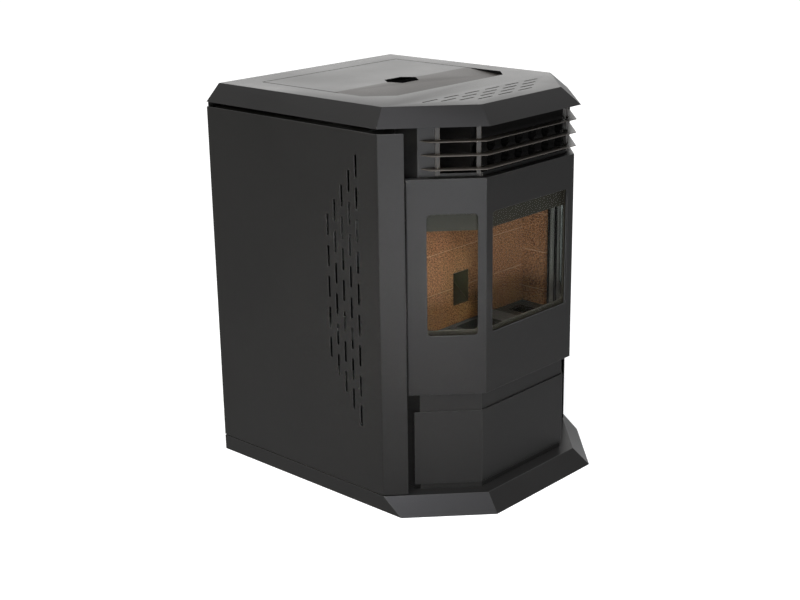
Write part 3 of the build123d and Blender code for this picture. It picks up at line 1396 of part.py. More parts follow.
for name, depth in zip(("power_button", "less_button", "more_button"), button_spots):
    half = button_size / 2
    flange = half + button_flange
    with BuildPart() as button:
        block((bezel_in - button_flange, case_half_width), (depth - half, depth + half),
              (button_height - half, button_height + half))
        fillet(button.faces().sort_by(Axis.X)[-1].edges(), button_round)
        block((bezel_in - 2 * button_flange, bezel_in - button_gap), (depth - flange, depth + flange),
              (button_height - flange, button_height + flange))
    keep(name, button.part)

board_face = bezel_in - board_stand_off

with BuildPart() as control_board:
    block((board_face - sheet, board_face),
          (control_depths[0] + board_depth_in, control_depths[1] - board_depth_in),
          (control_heights[0] - board_below, control_heights[1] + board_above))
    for depth in (control_depths[0] + board_post_depth_in, control_depths[1] - board_post_depth_in):
        for z in (control_heights[0] + board_post_height_in, control_heights[1] - board_post_height_in):
            round_x(depth, z, board_post_radius, board_face - sheet, bezel_in)
    for near, far, low, high, thickness in (relay, capacitor):
        block((board_face - sheet - thickness, board_face - sheet / 2),
              (control_depth + near, control_depth + far), (control_heights[0] + low, control_heights[0] + high))
keep("control_board", control_board.part)

inlet_x_range = (inlet_x - inlet_half_width, switch_x + switch_half_width)
rocker_well_half = rocker_half_width + rocker_gap
pivot_reach = rocker_half_width + rocker_pin_reach

with BuildPart() as power_inlet:
    block((inlet_x_range[0] - inlet_rim, inlet_x_range[1] + inlet_rim), (0, sheet),
          (inlet_height - inlet_rim_half_height, inlet_height + inlet_rim_half_height))
    block((inlet_x_range[0] + inlet_gap, inlet_x_range[1] - inlet_gap), (0, inlet_depth),
          (inlet_height - inlet_half_height + inlet_gap, inlet_height + inlet_half_height - inlet_gap))
    block((inlet_x - socket_half_width, inlet_x + socket_half_width), (-cut_over, socket_depth),
          (inlet_height - socket_half_height, inlet_height + socket_half_height), Mode.SUBTRACT)
    for across, up in pin_spots:
        x, z = inlet_x + across, inlet_height + up
        block((x - pin_half_width, x + pin_half_width), (pin_start, socket_depth + sheet),
              (z - pin_half_height, z + pin_half_height))
    block((switch_x - rocker_well_half, switch_x + rocker_well_half), (-cut_over, rocker_well),
          (inlet_height - rocker_half_height - rocker_swing, inlet_height + rocker_half_height + rocker_swing),
          Mode.SUBTRACT)
    round_x(switch_depth, inlet_height, rocker_pin_radius + running_fit, switch_x - pivot_reach - rocker_gap,
            switch_x + pivot_reach + rocker_gap, Mode.SUBTRACT)
keep("power_inlet", power_inlet.part)

with BuildPart() as power_switch:
    low, high = inlet_height - rocker_half_height, inlet_height + rocker_half_height
    profile([(switch_depth - rocker_crown, high), (switch_depth - rocker_dip, inlet_height),
             (switch_depth - rocker_crown, low), (switch_depth + rocker_back, low),
             (switch_depth + rocker_back, high)], switch_x - rocker_half_width, switch_x + rocker_half_width)
    round_x(switch_depth, inlet_height, rocker_pin_radius, switch_x - pivot_reach, switch_x + pivot_reach)
keep("power_switch", power_switch.part)

# ---------------------------------------------------------------- files
os.makedirs("parts", exist_ok=True)
for name, part in pieces.items():
    export_step(part, "parts/" + name + ".step")
print(len(pieces), "parts")
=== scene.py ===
import bpy
import bmesh
import json
from math import cos, pi, radians, sin
from mathutils import Matrix, Vector

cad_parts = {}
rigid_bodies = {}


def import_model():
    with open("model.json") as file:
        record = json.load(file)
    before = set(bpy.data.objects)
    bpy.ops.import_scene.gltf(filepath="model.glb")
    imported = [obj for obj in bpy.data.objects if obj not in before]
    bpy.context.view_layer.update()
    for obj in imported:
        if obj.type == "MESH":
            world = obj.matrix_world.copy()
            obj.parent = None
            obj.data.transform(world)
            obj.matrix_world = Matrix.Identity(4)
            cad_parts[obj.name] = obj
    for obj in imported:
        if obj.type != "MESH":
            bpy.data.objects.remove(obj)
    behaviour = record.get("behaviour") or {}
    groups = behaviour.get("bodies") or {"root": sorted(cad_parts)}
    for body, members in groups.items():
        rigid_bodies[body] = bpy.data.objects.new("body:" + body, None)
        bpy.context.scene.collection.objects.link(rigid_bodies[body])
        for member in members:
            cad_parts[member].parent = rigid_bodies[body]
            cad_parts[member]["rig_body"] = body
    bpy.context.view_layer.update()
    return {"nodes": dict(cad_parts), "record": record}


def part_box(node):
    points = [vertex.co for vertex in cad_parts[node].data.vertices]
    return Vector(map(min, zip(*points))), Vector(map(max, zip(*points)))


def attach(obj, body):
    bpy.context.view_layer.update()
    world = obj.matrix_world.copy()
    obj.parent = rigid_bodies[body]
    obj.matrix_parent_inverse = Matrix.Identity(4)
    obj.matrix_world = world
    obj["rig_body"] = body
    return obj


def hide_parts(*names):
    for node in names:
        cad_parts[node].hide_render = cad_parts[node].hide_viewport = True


# Pellet stove: painted case, bay door before a brick-lined firebox, louvre, ash drawer and hopper lid.
# The loaded CAD nodes stay where they are; each shown piece is a merged, softened copy or a new piece.

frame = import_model()
stoveNodes = frame["nodes"]
slotOf = {entry["node"]: entry["material_slot"] for entry in frame["record"]["subparts"]}
print("stove loaded:", len(stoveNodes), "nodes")

# ---- node trees
white = (1, 1, 1, 1)
wholeSpan = (0.0, 1.0)


def wire(tree, node, wires):
    # a wire is a value or the socket that drives the input
    for name, value in wires.items():
        if isinstance(value, bpy.types.NodeSocket):
            tree.links.new(value, node.inputs[name])
        else:
            node.inputs[name].default_value = value


def addNode(tree, kind, wires=None, **settings):
    node = tree.nodes.new(kind)
    for name, value in settings.items():
        setattr(node, name, value)
    wire(tree, node, wires or {})
    return node


def reckon(tree, operation, *terms):
    return addNode(tree, "ShaderNodeMath", dict(enumerate(terms)), operation=operation).outputs[0]


def mapRange(tree, value, span, target):
    return addNode(tree, "ShaderNodeMapRange", {
        "Value": value, "From Min": span[0], "From Max": span[1],
        "To Min": target[0], "To Max": target[1]}).outputs[0]


def joinAxes(tree, x=0.0, y=0.0, z=0.0):
    return addNode(tree, "ShaderNodeCombineXYZ", {"X": x, "Y": y, "Z": z}).outputs[0]


def splitAxes(tree, place):
    return addNode(tree, "ShaderNodeSeparateXYZ", {0: place}).outputs


def objectPlace(tree):
    return addNode(tree, "ShaderNodeTexCoord").outputs["Object"]


def noise(tree, place, scale, detail, roughness=0.5):
    return addNode(tree, "ShaderNodeTexNoise", {
        "Vector": place, "Scale": scale, "Detail": detail, "Roughness": roughness}).outputs["Fac"]


def blendColours(tree, factor, first, second):
    first = first if isinstance(first, bpy.types.NodeSocket) else (*first, 1)
    second = second if isinstance(second, bpy.types.NodeSocket) else (*second, 1)
    return addNode(tree, "ShaderNodeMix", {0: factor, 6: first, 7: second}, data_type="RGBA").outputs[2]


def addRelief(tree, shader, height, strength, depth):
    bump = addNode(tree, "ShaderNodeBump", {"Height": height, "Strength": strength, "Distance": depth})
    wire(tree, shader, {"Normal": bump.outputs[0]})


def newFinish(name):
    finish = bpy.data.materials.new(name)
    finish.use_nodes = True
    return finish, finish.node_tree, finish.node_tree.nodes["Principled BSDF"]


# ---- camera, lights and floor
cameraLook = {
    "place": (-2.2218, -2.00555, 1.3097),
    "back": (-0.69872, -0.64640, 0.30654),
    "roll": -0.888,
    "lens": 63.96,
    "sensor": 36.0,
    "reach": 100.0,
}
studioLook = {
    "fill": 0.22,
    "floorColour": (0.34, 0.34, 0.335),
    "floorRoughness": 0.9,
    "floorGloss": 0.1,
    "floorGlow": (0.80, 1.0),
    "glowReach": (2.2, 5.0),
    "floorSize": 34.0,
    "middle": (0.0, 0.0, 0.45),
}
lampLooks = {
    "keyPanel": {"azimuth": -44.0, "elevation": 23.0, "distance": 3.6, "size": (0.3, 0.3), "power": 1.0,
                 "spread": 11.0, "aim": (-0.27, -0.21, 0.42), "tint": (1.0, 0.97, 0.92)},
    "lowPanel": {"azimuth": -40.0, "elevation": -1.5, "distance": 3.6, "size": (1.3, 0.5), "power": 90.0,
                 "tint": (0.93, 0.95, 1.0)},
    "footPanel": {"azimuth": -40.0, "elevation": -10.5, "distance": 2.0, "size": (0.8, 0.1), "power": 11.0,
                  "tint": (0.93, 0.95, 1.0)},
    "sidePanel": {"azimuth": -84.0, "elevation": 26.0, "distance": 3.6, "size": (1.4, 1.4), "power": 90.0,
                  "tint": (1.0, 0.97, 0.86)},
    "topPanel": {"azimuth": -54.0, "elevation": 64.0, "distance": 3.4, "size": (1.2, 1.2), "power": 215.0,
                 "tint": (0.90, 0.91, 1.0)},
    "rearPanel": {"azimuth": 133.0, "elevation": 24.0, "distance": 4.2, "size": (2.6, 2.6), "power": 38.0,
                  "tint": (1.0, 0.99, 0.97)},
}
openSpread = 180.0


def placeCamera(look):
    back = Vector(look["back"]).normalized()
    right = Vector((0, 0, 1)).cross(back).normalized()
    up = back.cross(right)
    turn = radians(look["roll"])
    side = right * cos(turn) + up * sin(turn)
    top = up * cos(turn) - right * sin(turn)
    camera = bpy.data.objects.new("photoCamera", bpy.data.cameras.new("photoCamera"))
    bpy.context.scene.collection.objects.link(camera)
    camera.matrix_world = Matrix.Translation(look["place"]) @ Matrix((side, top, back)).transposed().to_4x4()
    camera.data.sensor_width = look["sensor"]
    camera.data.lens = look["lens"]
    camera.data.clip_end = look["reach"]
    bpy.context.scene.camera = camera


def hangLamps(lamps, middle):
    for name, lamp in lamps.items():
        turn, rise = radians(lamp["azimuth"]), radians(lamp["elevation"])
        away = Vector((sin(turn) * cos(rise), -cos(turn) * cos(rise), sin(rise)))
        panel = bpy.data.objects.new(name, bpy.data.lights.new(name, "AREA"))
        panel.data.shape = "RECTANGLE"
        panel.data.size, panel.data.size_y = lamp["size"]
        panel.data.color = lamp["tint"]
        panel.data.energy = lamp["power"]
        panel.data.spread = radians(lamp.get("spread", openSpread))
        panel.location = Vector(lamp.get("aim", middle)) + away * lamp["distance"]
        panel.rotation_euler = away.to_track_quat("Z", "Y").to_euler()
        bpy.context.scene.collection.objects.link(panel)


def seenDirectly(tree):
    # 1 for rays from the camera, mirrors and glass
    path = addNode(tree, "ShaderNodeLightPath").outputs
    either = reckon(tree, "MAXIMUM", path["Is Camera Ray"], path["Is Glossy Ray"])
    return reckon(tree, "MAXIMUM", either, path["Is Transmission Ray"])


def lightRoom(look):
    world = bpy.data.worlds.new("softRoom")
    world.use_nodes = True
    bpy.context.scene.world = world
    tree = world.node_tree
    glow = reckon(tree, "MULTIPLY_ADD", seenDirectly(tree), 1.0 - look["fill"], look["fill"])
    wire(tree, tree.nodes["Background"], {"Color": white, "Strength": glow})


def layFloor(look):
    form = bmesh.new()
    bmesh.ops.create_grid(form, x_segments=2, y_segments=2, size=look["floorSize"] / 2)
    mesh = bpy.data.meshes.new("paleFloor")
    form.to_mesh(mesh)
    form.free()
    floor = bpy.data.objects.new("paleFloor", mesh)
    bpy.context.scene.collection.objects.link(floor)
    finish, tree, shader = newFinish("paleFloor")
    away = addNode(tree, "ShaderNodeVectorMath", {0: objectPlace(tree)}, operation="LENGTH").outputs["Value"]
    glow = mapRange(tree, away, look["glowReach"], look["floorGlow"])
    wire(tree, shader, {
        "Base Color": (*look["floorColour"], 1), "Roughness": look["floorRoughness"],
        "Specular IOR Level": look["floorGloss"], "Emission Color": white,
        "Emission Strength": reckon(tree, "MULTIPLY", seenDirectly(tree), glow)})
    mesh.materials.append(finish)


placeCamera(cameraLook)
lightRoom(studioLook)
layFloor(studioLook)
hangLamps(lampLooks, studioLook["middle"])
bpy.context.scene.view_settings.view_transform = "Standard"
print("camera and soft light placed")

# ---- finishes
coatGrain = {
    "cloudDetail": 4.0, "grainDetail": 2.0, "grainSpan": (0.35, 0.65), "grainTone": (0.88, 1.12),
    "cloudSpan": (0.3, 0.7), "wornPolish": 0.08, "reliefStrength": 0.35,
}
paintLook = {
    "colour": (0.0080, 0.0078, 0.0074), "wornAndLitEdge": (0.018, 0.018, 0.017), "roughness": 0.38, "spread": 0.03,
    "grainScale": 1100.0, "grainDepth": 0.00012, "cloudScale": 5.0, "cloud": 0.16, "gloss": 0.06,
}
# the lid's fold values paint shade: before the fold line a browner tone and lower gloss stand in for the
# darker reflection on the lid's front
lidLook = {**paintLook, "foldAt": 0.035, "foldShadeGloss": 0.022, "foldShadeTone": (0.0125, 0.0105, 0.0088)}
blackLook = {
    "colour": (0.0085, 0.0082, 0.0080), "wornAndLitEdge": (0.03, 0.029, 0.027), "roughness": 0.62, "spread": 0.08,
    "grainScale": 700.0, "grainDepth": 0.0002, "cloudScale": 14.0, "cloud": 0.3, "gloss": 0.06,
}
# painted shade: a near-black, glossless finish for the gap faces round the lid, standing in for the shade in
# the gap
gapShadeLook = {**blackLook, "colour": (0.004, 0.004, 0.004), "roughness": 0.85, "gloss": 0.0}
# painted shade: the heat exchanger behind the louvre is near black with little gloss, standing in for the
# shade inside the louvre
shadedInsideLook = {**blackLook, "colour": (0.0042, 0.0040, 0.0038), "wornAndLitEdge": (0.010, 0.010, 0.009), "gloss": 0.02}
# painted light: the louvre blades take a lighter, browner tone than the case paint, and lighter edges,
# standing in for the light on their tops and lips
litGrilleLook = {**paintLook, "colour": (0.019, 0.017, 0.0145), "wornAndLitEdge": (0.060, 0.053, 0.045), "gloss": 0.08}
# dark brown-black finish for the firebox parts: partly soot, partly painted shade standing for the shade in
# the gap behind the rope, at the chute mouth and on the deflector strip
sootAndShadeLook = {
    "colour": (0.0165, 0.0140, 0.0105), "wornAndLitEdge": (0.045, 0.040, 0.032), "roughness": 0.40, "spread": 0.04,
    "grainScale": 500.0, "grainDepth": 0.0002, "cloudScale": 16.0, "cloud": 0.25, "gloss": 0.055,
}
zincLook = {
    "colour": (0.42, 0.42, 0.41), "wornAndLitEdge": (0.56, 0.56, 0.55), "roughness": 0.38, "spread": 0.14,
    "grainScale": 160.0, "grainDepth": 0.00004, "cloudScale": 36.0, "cloud": 0.22, "gloss": 0.5, "metal": 1.0,
}
castLook = {
    "colour": (0.050, 0.046, 0.043), "wornAndLitEdge": (0.11, 0.10, 0.095), "roughness": 0.66, "spread": 0.1,
    "grainScale": 420.0, "grainDepth": 0.0006, "cloudScale": 22.0, "cloud": 0.35, "gloss": 0.4,
}
motorLook = {
    "colour": (0.055, 0.056, 0.060), "wornAndLitEdge": (0.14, 0.14, 0.145), "roughness": 0.4, "spread": 0.06,
    "grainScale": 900.0, "grainDepth": 0.0001, "cloudScale": 12.0, "cloud": 0.15, "gloss": 0.5,
}
alloyLook = {
    "colour": (0.48, 0.48, 0.49), "wornAndLitEdge": (0.62, 0.62, 0.62), "roughness": 0.45, "spread": 0.1,
    "grainScale": 520.0, "grainDepth": 0.0002, "cloudScale": 20.0, "cloud": 0.15, "gloss": 0.5, "metal": 1.0,
}
plasticLook = {
    "colour": (0.018, 0.018, 0.019), "wornAndLitEdge": (0.04, 0.04, 0.042), "roughness": 0.42, "spread": 0.05,
    "grainScale": 1500.0, "grainDepth": 0.00008, "cloudScale": 20.0, "cloud": 0.12, "gloss": 0.5,
}
boardLook = {
    "colour": (0.035, 0.12, 0.055), "wornAndLitEdge": (0.05, 0.15, 0.07), "roughness": 0.35, "spread": 0.05,
    "grainScale": 300.0, "grainDepth": 0.00005, "cloudScale": 90.0, "cloud": 0.3, "gloss": 0.5,
}
brickLook = {
    "colour": (0.27, 0.122, 0.054), "groundScale": 26.0, "groundDetail": 5.0, "shades": (0.82, 1.18),
    "deep": (0.060, 0.026, 0.012), "speckScale": 340.0, "speckDetail": 3.0, "speckRoughness": 0.7,
    "speckSpan": (0.44, 0.56), "fleck": (0.46, 0.29, 0.165), "fleckScale": 240.0, "fleckSpan": (0.10, 0.24),
    "fleckShare": 0.65, "joint": (0.33, 0.20, 0.12), "jointHalf": 0.0006, "course": 0.087,
    "roughness": (0.82, 0.97), "gloss": 0.25, "reliefStrength": 0.6, "reliefDepth": 0.0008,
}
backBoard = {"lowestJoint": 0.404, "joints": 3}
sideBoard = {"lowestJoint": 0.355, "joints": 4}
yarnWeave = {
    "threadsPerWave": 3.0, "distortion": 1.5, "waveDetail": 2.0, "fuzzDetail": 4.0, "weaveSpan": (0.35, 1.2),
    "roughnessSpread": 0.08, "reliefStrength": 0.5, "reliefDepth": 0.0004,
}
ropeLook = {**yarnWeave, "colour": (0.20, 0.195, 0.18), "deep": (0.045, 0.043, 0.038), "threadScale": 900.0,
            "roughness": 0.9}
tapeLook = {**yarnWeave, "colour": (0.030, 0.030, 0.030), "deep": (0.010, 0.010, 0.010),
            "threadScale": 1400.0, "roughness": 0.95}
glassLook = {
    "clear": (0.93, 0.95, 0.935), "roughness": 0.03, "filmScale": 18.0, "filmDetail": 3.0,
    "filmSpread": (0.6, 1.6), "slantGloss": 0.3, "slantPower": 5.0,
    "edge": (0.022, 0.034, 0.028), "edgeRoughness": 0.35, "edgeSpread": 0.06, "edgeShade": 0.8,
    "streakScale": 240.0, "streakDetail": 2.0,
}


def makeCoat(name, look, wornAndLitEdge=False, fold=False):
    # paint, metal or moulded skin: cloudy tone, fine grain, uneven sheen; with fold, the part before a line
    # gets a browner tone and less gloss, a painted shade
    finish, tree, shader = newFinish(name)
    place = objectPlace(tree)
    cloud = noise(tree, place, look["cloudScale"], coatGrain["cloudDetail"])
    grain = noise(tree, place, look["grainScale"], coatGrain["grainDetail"])
    # the edge colour is lighter than the coat: partly wear, partly a painted highlight on the rounded edges
    base = look["wornAndLitEdge"] if wornAndLitEdge else look["colour"]
    dim = [c * (1 - look["cloud"]) for c in base]
    bright = [min(1.0, c * (1 + look["cloud"])) for c in base]
    tone = blendColours(tree, cloud, dim, bright)
    gloss = look["gloss"]
    # painted shade: before the fold line the tone turns browner and the gloss drops, standing in for the
    # darker reflection there
    if fold:
        front = reckon(tree, "LESS_THAN", splitAxes(tree, place)["Y"], look["foldAt"])
        tone = blendColours(tree, front, tone, look["foldShadeTone"])
        gloss = mapRange(tree, front, wholeSpan, (look["gloss"], look["foldShadeGloss"]))
    speck = mapRange(tree, grain, coatGrain["grainSpan"], coatGrain["grainTone"])
    grained = addNode(tree, "ShaderNodeVectorMath", {0: tone, "Scale": speck}, operation="SCALE").outputs[0]
    rough = look["roughness"] - (coatGrain["wornPolish"] if wornAndLitEdge else 0.0)
    sheen = mapRange(tree, cloud, coatGrain["cloudSpan"], (rough - look["spread"], rough + look["spread"]))
    wire(tree, shader, {"Base Color": grained, "Roughness": sheen, "Specular IOR Level": gloss,
                        "Metallic": look.get("metal", 0.0)})
    addRelief(tree, shader, grain, coatGrain["reliefStrength"], look["grainDepth"])
    return finish


def makePair(name, look):
    # the second finish goes on the rounded edges: lighter and a little glossier, partly wear and partly a
    # painted highlight
    return makeCoat(name + "Coat", look), makeCoat(name + "Edge", look, wornAndLitEdge=True)


def makeBrick(name, look, board):
    # pressed board: orange ground with dark grit, pale flecks and light mortar between the courses
    finish, tree, shader = newFinish(name)
    place = objectPlace(tree)
    ground = noise(tree, place, look["groundScale"], look["groundDetail"])
    grit = noise(tree, place, look["speckScale"], look["speckDetail"], look["speckRoughness"])
    flakes = addNode(tree, "ShaderNodeTexVoronoi", {"Vector": place, "Scale": look["fleckScale"]})
    dark = mapRange(tree, grit, look["speckSpan"], (1.0, 0.0))
    pale = mapRange(tree, flakes.outputs["Distance"], look["fleckSpan"], (look["fleckShare"], 0.0))
    tone = blendColours(tree, ground, *([shade * c for c in look["colour"]] for shade in look["shades"]))
    tone = blendColours(tree, dark, tone, look["deep"])
    tone = blendColours(tree, pale, tone, look["fleck"])
    height = splitAxes(tree, place)["Z"]
    mortar = 0.0
    for course in range(board["joints"]):
        joint = board["lowestJoint"] + course * look["course"]
        mortar = reckon(tree, "MAXIMUM", mortar, reckon(tree, "COMPARE", height, joint, look["jointHalf"]))
    tone = blendColours(tree, mortar, tone, look["joint"])
    wire(tree, shader, {"Base Color": tone, "Roughness": mapRange(tree, ground, wholeSpan, look["roughness"]),
                        "Specular IOR Level": look["gloss"]})
    addRelief(tree, shader, grit, look["reliefStrength"], look["reliefDepth"])
    return finish


def makeYarn(name, look):
    # fine threads across each other
    finish, tree, shader = newFinish(name)
    place = objectPlace(tree)
    waves = [addNode(tree, "ShaderNodeTexWave", {
        "Vector": place, "Scale": look["threadScale"] / look["threadsPerWave"],
        "Distortion": look["distortion"], "Detail": look["waveDetail"],
    }, wave_type="BANDS", bands_direction=direction).outputs["Fac"] for direction in ("X", "Z")]
    fuzz = noise(tree, place, look["threadScale"], look["fuzzDetail"])
    mixed = reckon(tree, "ADD", reckon(tree, "MULTIPLY", *waves), fuzz)
    level = mapRange(tree, mixed, look["weaveSpan"], wholeSpan)
    spread = look["roughnessSpread"]
    rough = (look["roughness"] - spread, min(1.0, look["roughness"] + spread))
    wire(tree, shader, {"Base Color": blendColours(tree, level, look["deep"], look["colour"]),
                        "Roughness": mapRange(tree, fuzz, wholeSpan, rough)})
    addRelief(tree, shader, mixed, look["reliefStrength"], look["reliefDepth"])
    return finish


def makeGlass(name, look):
    # clear pane: lamps pass through, and its outer face has a faint gloss that grows at a slant
    finish, tree, shader = newFinish(name)
    tree.nodes.remove(shader)
    through = addNode(tree, "ShaderNodeBsdfTransparent", {"Color": (*look["clear"], 1)})
    facing = addNode(tree, "ShaderNodeLayerWeight", {"Blend": 0.5}).outputs["Facing"]
    sheen = reckon(tree, "MULTIPLY", reckon(tree, "POWER", facing, look["slantPower"]), look["slantGloss"])
    inside = addNode(tree, "ShaderNodeNewGeometry").outputs["Backfacing"]
    share = reckon(tree, "MULTIPLY", reckon(tree, "SUBTRACT", 1.0, inside), sheen)
    haze = noise(tree, objectPlace(tree), look["filmScale"], look["filmDetail"])
    film = mapRange(tree, haze, wholeSpan, [look["roughness"] * part for part in look["filmSpread"]])
    gloss = addNode(tree, "ShaderNodeBsdfAnisotropic", {"Color": white, "Roughness": film})
    pane = addNode(tree, "ShaderNodeMixShader", {0: share, 1: through.outputs[0], 2: gloss.outputs[0]})
    wire(tree, tree.nodes["Material Output"], {"Surface": pane.outputs[0]})
    return finish


def makeGlassEdge(name, look):
    finish, tree, shader = newFinish(name)
    streak = noise(tree, objectPlace(tree), look["streakScale"], look["streakDetail"])
    shade = [look["edgeShade"] * c for c in look["edge"]]
    rough = (look["edgeRoughness"] - look["edgeSpread"], look["edgeRoughness"] + look["edgeSpread"])
    wire(tree, shader, {"Base Color": blendColours(tree, streak, shade, look["edge"]),
                        "Roughness": mapRange(tree, streak, wholeSpan, rough)})
    return finish


coatLooks = {
    "case_paint": paintLook, "cap_paint": paintLook, "inner_steel": zincLook, "black_steel": blackLook,
    "cast": castLook, "motor": motorLook, "alloy": alloyLook, "plastic": plasticLook, "board": boardLook,
    "fixing": zincLook,
}
# these firebox parts take the soot-and-shade finish instead of their bright steel: partly soot, partly painted
# shade
sootAndShadeNodes = (
    "door_deflector", "feed_chute", "hearth_plate", "baffle_plate", "firebox_shell", "glass_retainer",
)
gapShadeEdge = makeCoat("gapShadeEdge", gapShadeLook)
finishes = {
    **{slot: makePair(slot, look) for slot, look in coatLooks.items()},
    "rope": (makeYarn("glassRope", ropeLook),) * 2,
    "tape": (makeYarn("blackTape", tapeLook),) * 2,
    "pane": (makeGlass("clearPane", glassLook), makeGlassEdge("paneEdge", glassLook)),
    "brick": (makeBrick("sideBoard", brickLook, sideBoard),) * 2,
}
nodeFinishes = {
    **dict.fromkeys(sootAndShadeNodes, makePair("sootAndShade", sootAndShadeLook)),
    # painted shade: the heat exchanger is darkened to stand for the shade behind the louvre blades
    "heat_exchanger": makePair("inside", shadedInsideLook),
    # painted light: the grille's lighter finish stands in for the light falling on the blades
    "louvre_grille": makePair("grille", litGrilleLook),
    "back_brick": (makeBrick("backBoard", brickLook, backBoard),) * 2,
    # painted shade: the lid's rounded edges and the cap's faces round the opening take the near-black gap
    # finish, painting a thin shadow line round the lid
    "hopper_lid": (makeCoat("lidCoat", lidLook, fold=True), gapShadeEdge),
    "top_cap": (finishes[slotOf["top_cap"]][0], gapShadeEdge),
}
print("finishes mixed:", len(bpy.data.materials))

# ---- the case, door and works: softened copies of the CAD pieces
lipLook = {"from": 0.035, "drop": 0.011, "thickness": 0.001, "beside": 0.01, "upright": 0.3}
softening = {"smoothAngle": 28.0, "rounds": 2, "plain": 0.0004, "weld": 0.00001, "flatAngle": 0.3}
edgeRadii = {
    "top_cap": 0.0, "hopper_lid": 0.0009, "base_plinth": 0.0009, "left_side_panel": 0.0007,
    "right_side_panel": 0.0007, "back_panel": 0.0005, "front_casing": 0.0006, "door_frame": 0.0009,
    "ash_drawer_front": 0.0007, "louvre_grille": 0.0005, "back_brick": 0.0005, "left_brick": 0.0005,
    "right_brick": 0.0005, "burn_pot": 0.0008, "pot_cradle": 0.0008, "hearth_plate": 0.0008,
    "baffle_plate": 0.0010, "glass_retainer": 0.0004, "door_deflector": 0.0004, "door_handle": 0.0,
    "auger_screw": 0.0, "auger_tube": 0.0, "flue_outlet": 0.0003, "air_intake_pipe": 0.0003,
    "exhaust_wheel": 0.0, "convection_wheel": 0.0, "heat_exchanger": 0.0, "door_gasket": 0.0008,
    "lid_gasket": 0.0008, "glass_tapes": 0.0, "power_switch": 0.0006,
}
paneNodes = ("left_glass", "front_glass", "right_glass")
ownPieces = ("back_screws", "firebox_seals", *paneNodes)


def mergedMesh(nodeName):
    mesh = stoveNodes[nodeName].data.copy()
    mesh.name = nodeName + "Form"
    if "custom_normal" in mesh.attributes:
        mesh.attributes.remove(mesh.attributes["custom_normal"])
    form = bmesh.new()
    form.from_mesh(mesh)
    bmesh.ops.remove_doubles(form, verts=form.verts, dist=softening["weld"])
    bmesh.ops.dissolve_limit(form, angle_limit=radians(softening["flatAngle"]), verts=form.verts,
                             edges=form.edges)
    for face in form.faces:
        face.smooth = True
        face.material_index = 0
    form.to_mesh(mesh)
    form.free()
    mesh.materials.clear()
    return mesh


def showPiece(name, mesh, body, replaced):
    piece = bpy.data.objects.new(name, mesh)
    bpy.context.scene.collection.objects.link(piece)
    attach(piece, body)
    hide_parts(replaced)
    return piece


def showCopy(nodeName, mesh):
    return showPiece(nodeName + "_shown", mesh, stoveNodes[nodeName]["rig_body"], nodeName)


def turnDownLip(mesh, look):
    # the cut edge round the lid gets the near-black, glossless second finish, a painted shade for the gap, and
    # in front of the fold its lip is turned down beside the lid, with the same finish;
    # known fault: the rear edge is pulled forward too, which leaves a thin wall across the opening at the fold
    low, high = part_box("hopper_lid")
    reach = look["beside"]
    form = bmesh.new()
    form.from_mesh(mesh)
    for face in list(form.faces):
        middle = face.calc_center_median()
        beside = low.x - reach < middle.x < high.x + reach and low.y - reach < middle.y < high.y + reach
        if not beside or abs(face.normal.z) > look["upright"]:
            continue
        # painted shade: this face takes the near-black gap finish
        face.material_index = 1
        along = face.normal.cross(Vector((0, 0, 1))).normalized()
        ends = sorted(((v.co.dot(along), v.co.copy()) for v in face.verts), key=lambda end: end[0])
        first, last = ends[0][1], ends[-1][1]
        first.y, last.y = min(first.y, look["from"]), min(last.y, look["from"])
        if (last - first).xy.length < look["thickness"]:
            continue
        top = min(v.co.z for v in face.verts)
        corners = []
        for end in (first, last):
            for shift in (0.0, look["thickness"]):
                for height in (top - look["drop"], top):
                    spot = end - face.normal * shift
                    corners.append(form.verts.new((spot.x, spot.y, height)))
        sides = [form.faces.new([corners[i] for i in order]) for order in
                 ((0, 1, 3, 2), (4, 6, 7, 5), (0, 4, 5, 1), (2, 3, 7, 6), (0, 2, 6, 4), (1, 5, 7, 3))]
        bmesh.ops.recalc_face_normals(form, faces=sides)
        for side in sides:
            side.material_index = 1
    form.to_mesh(mesh)
    form.free()


def softenEdges(piece, radius):
    soften = piece.modifiers.new("softEdge", "BEVEL")
    soften.width = radius
    soften.segments = softening["rounds"]
    soften.limit_method = "ANGLE"
    soften.angle_limit = radians(softening["smoothAngle"])
    soften.use_clamp_overlap = False
    soften.loop_slide = False
    # the bevel faces take each piece's second finish: mostly the lighter edge finish, partly wear and partly a
    # painted highlight; on the lid the near-black gap finish, a painted shade
    soften.material = 1
    even = piece.modifiers.new("evenFaces", "WEIGHTED_NORMAL")
    even.weight = 100
    even.keep_sharp = True


def dressNode(nodeName, radius):
    mesh = mergedMesh(nodeName)
    for finish in nodeFinishes.get(nodeName) or finishes[slotOf[nodeName]]:
        mesh.materials.append(finish)
    if radius == 0:
        mesh.set_sharp_from_angle(angle=radians(softening["smoothAngle"]))
    if nodeName == "top_cap":
        turnDownLip(mesh, lipLook)
    piece = showCopy(nodeName, mesh)
    if radius > 0:
        softenEdges(piece, radius)


for nodeName in sorted(stoveNodes):
    if nodeName not in ownPieces:
        dressNode(nodeName, edgeRadii.get(nodeName, softening["plain"]))
print("case, door and works dressed")

# ---- panes
paneLook = {"edgeFaces": 0.5}


def showPane(nodeName, look):
    mesh = mergedMesh(nodeName)
    broad = max(mesh.polygons, key=lambda face: face.area).normal.copy()
    for face in mesh.polygons:
        face.use_smooth = False
        face.material_index = 1 if abs(face.normal.dot(broad)) < look["edgeFaces"] else 0
    for finish in finishes["pane"]:
        mesh.materials.append(finish)
    showCopy(nodeName, mesh)


for nodeName in paneNodes:
    showPane(nodeName, paneLook)
print("panes fitted")

# ---- braided rope seals
braidLook = {
    "strands": 6, "strandRadius": 0.0019, "weaveDepth": 0.0007, "turn": 0.036, "steps": 190, "threadSides": 6,
}


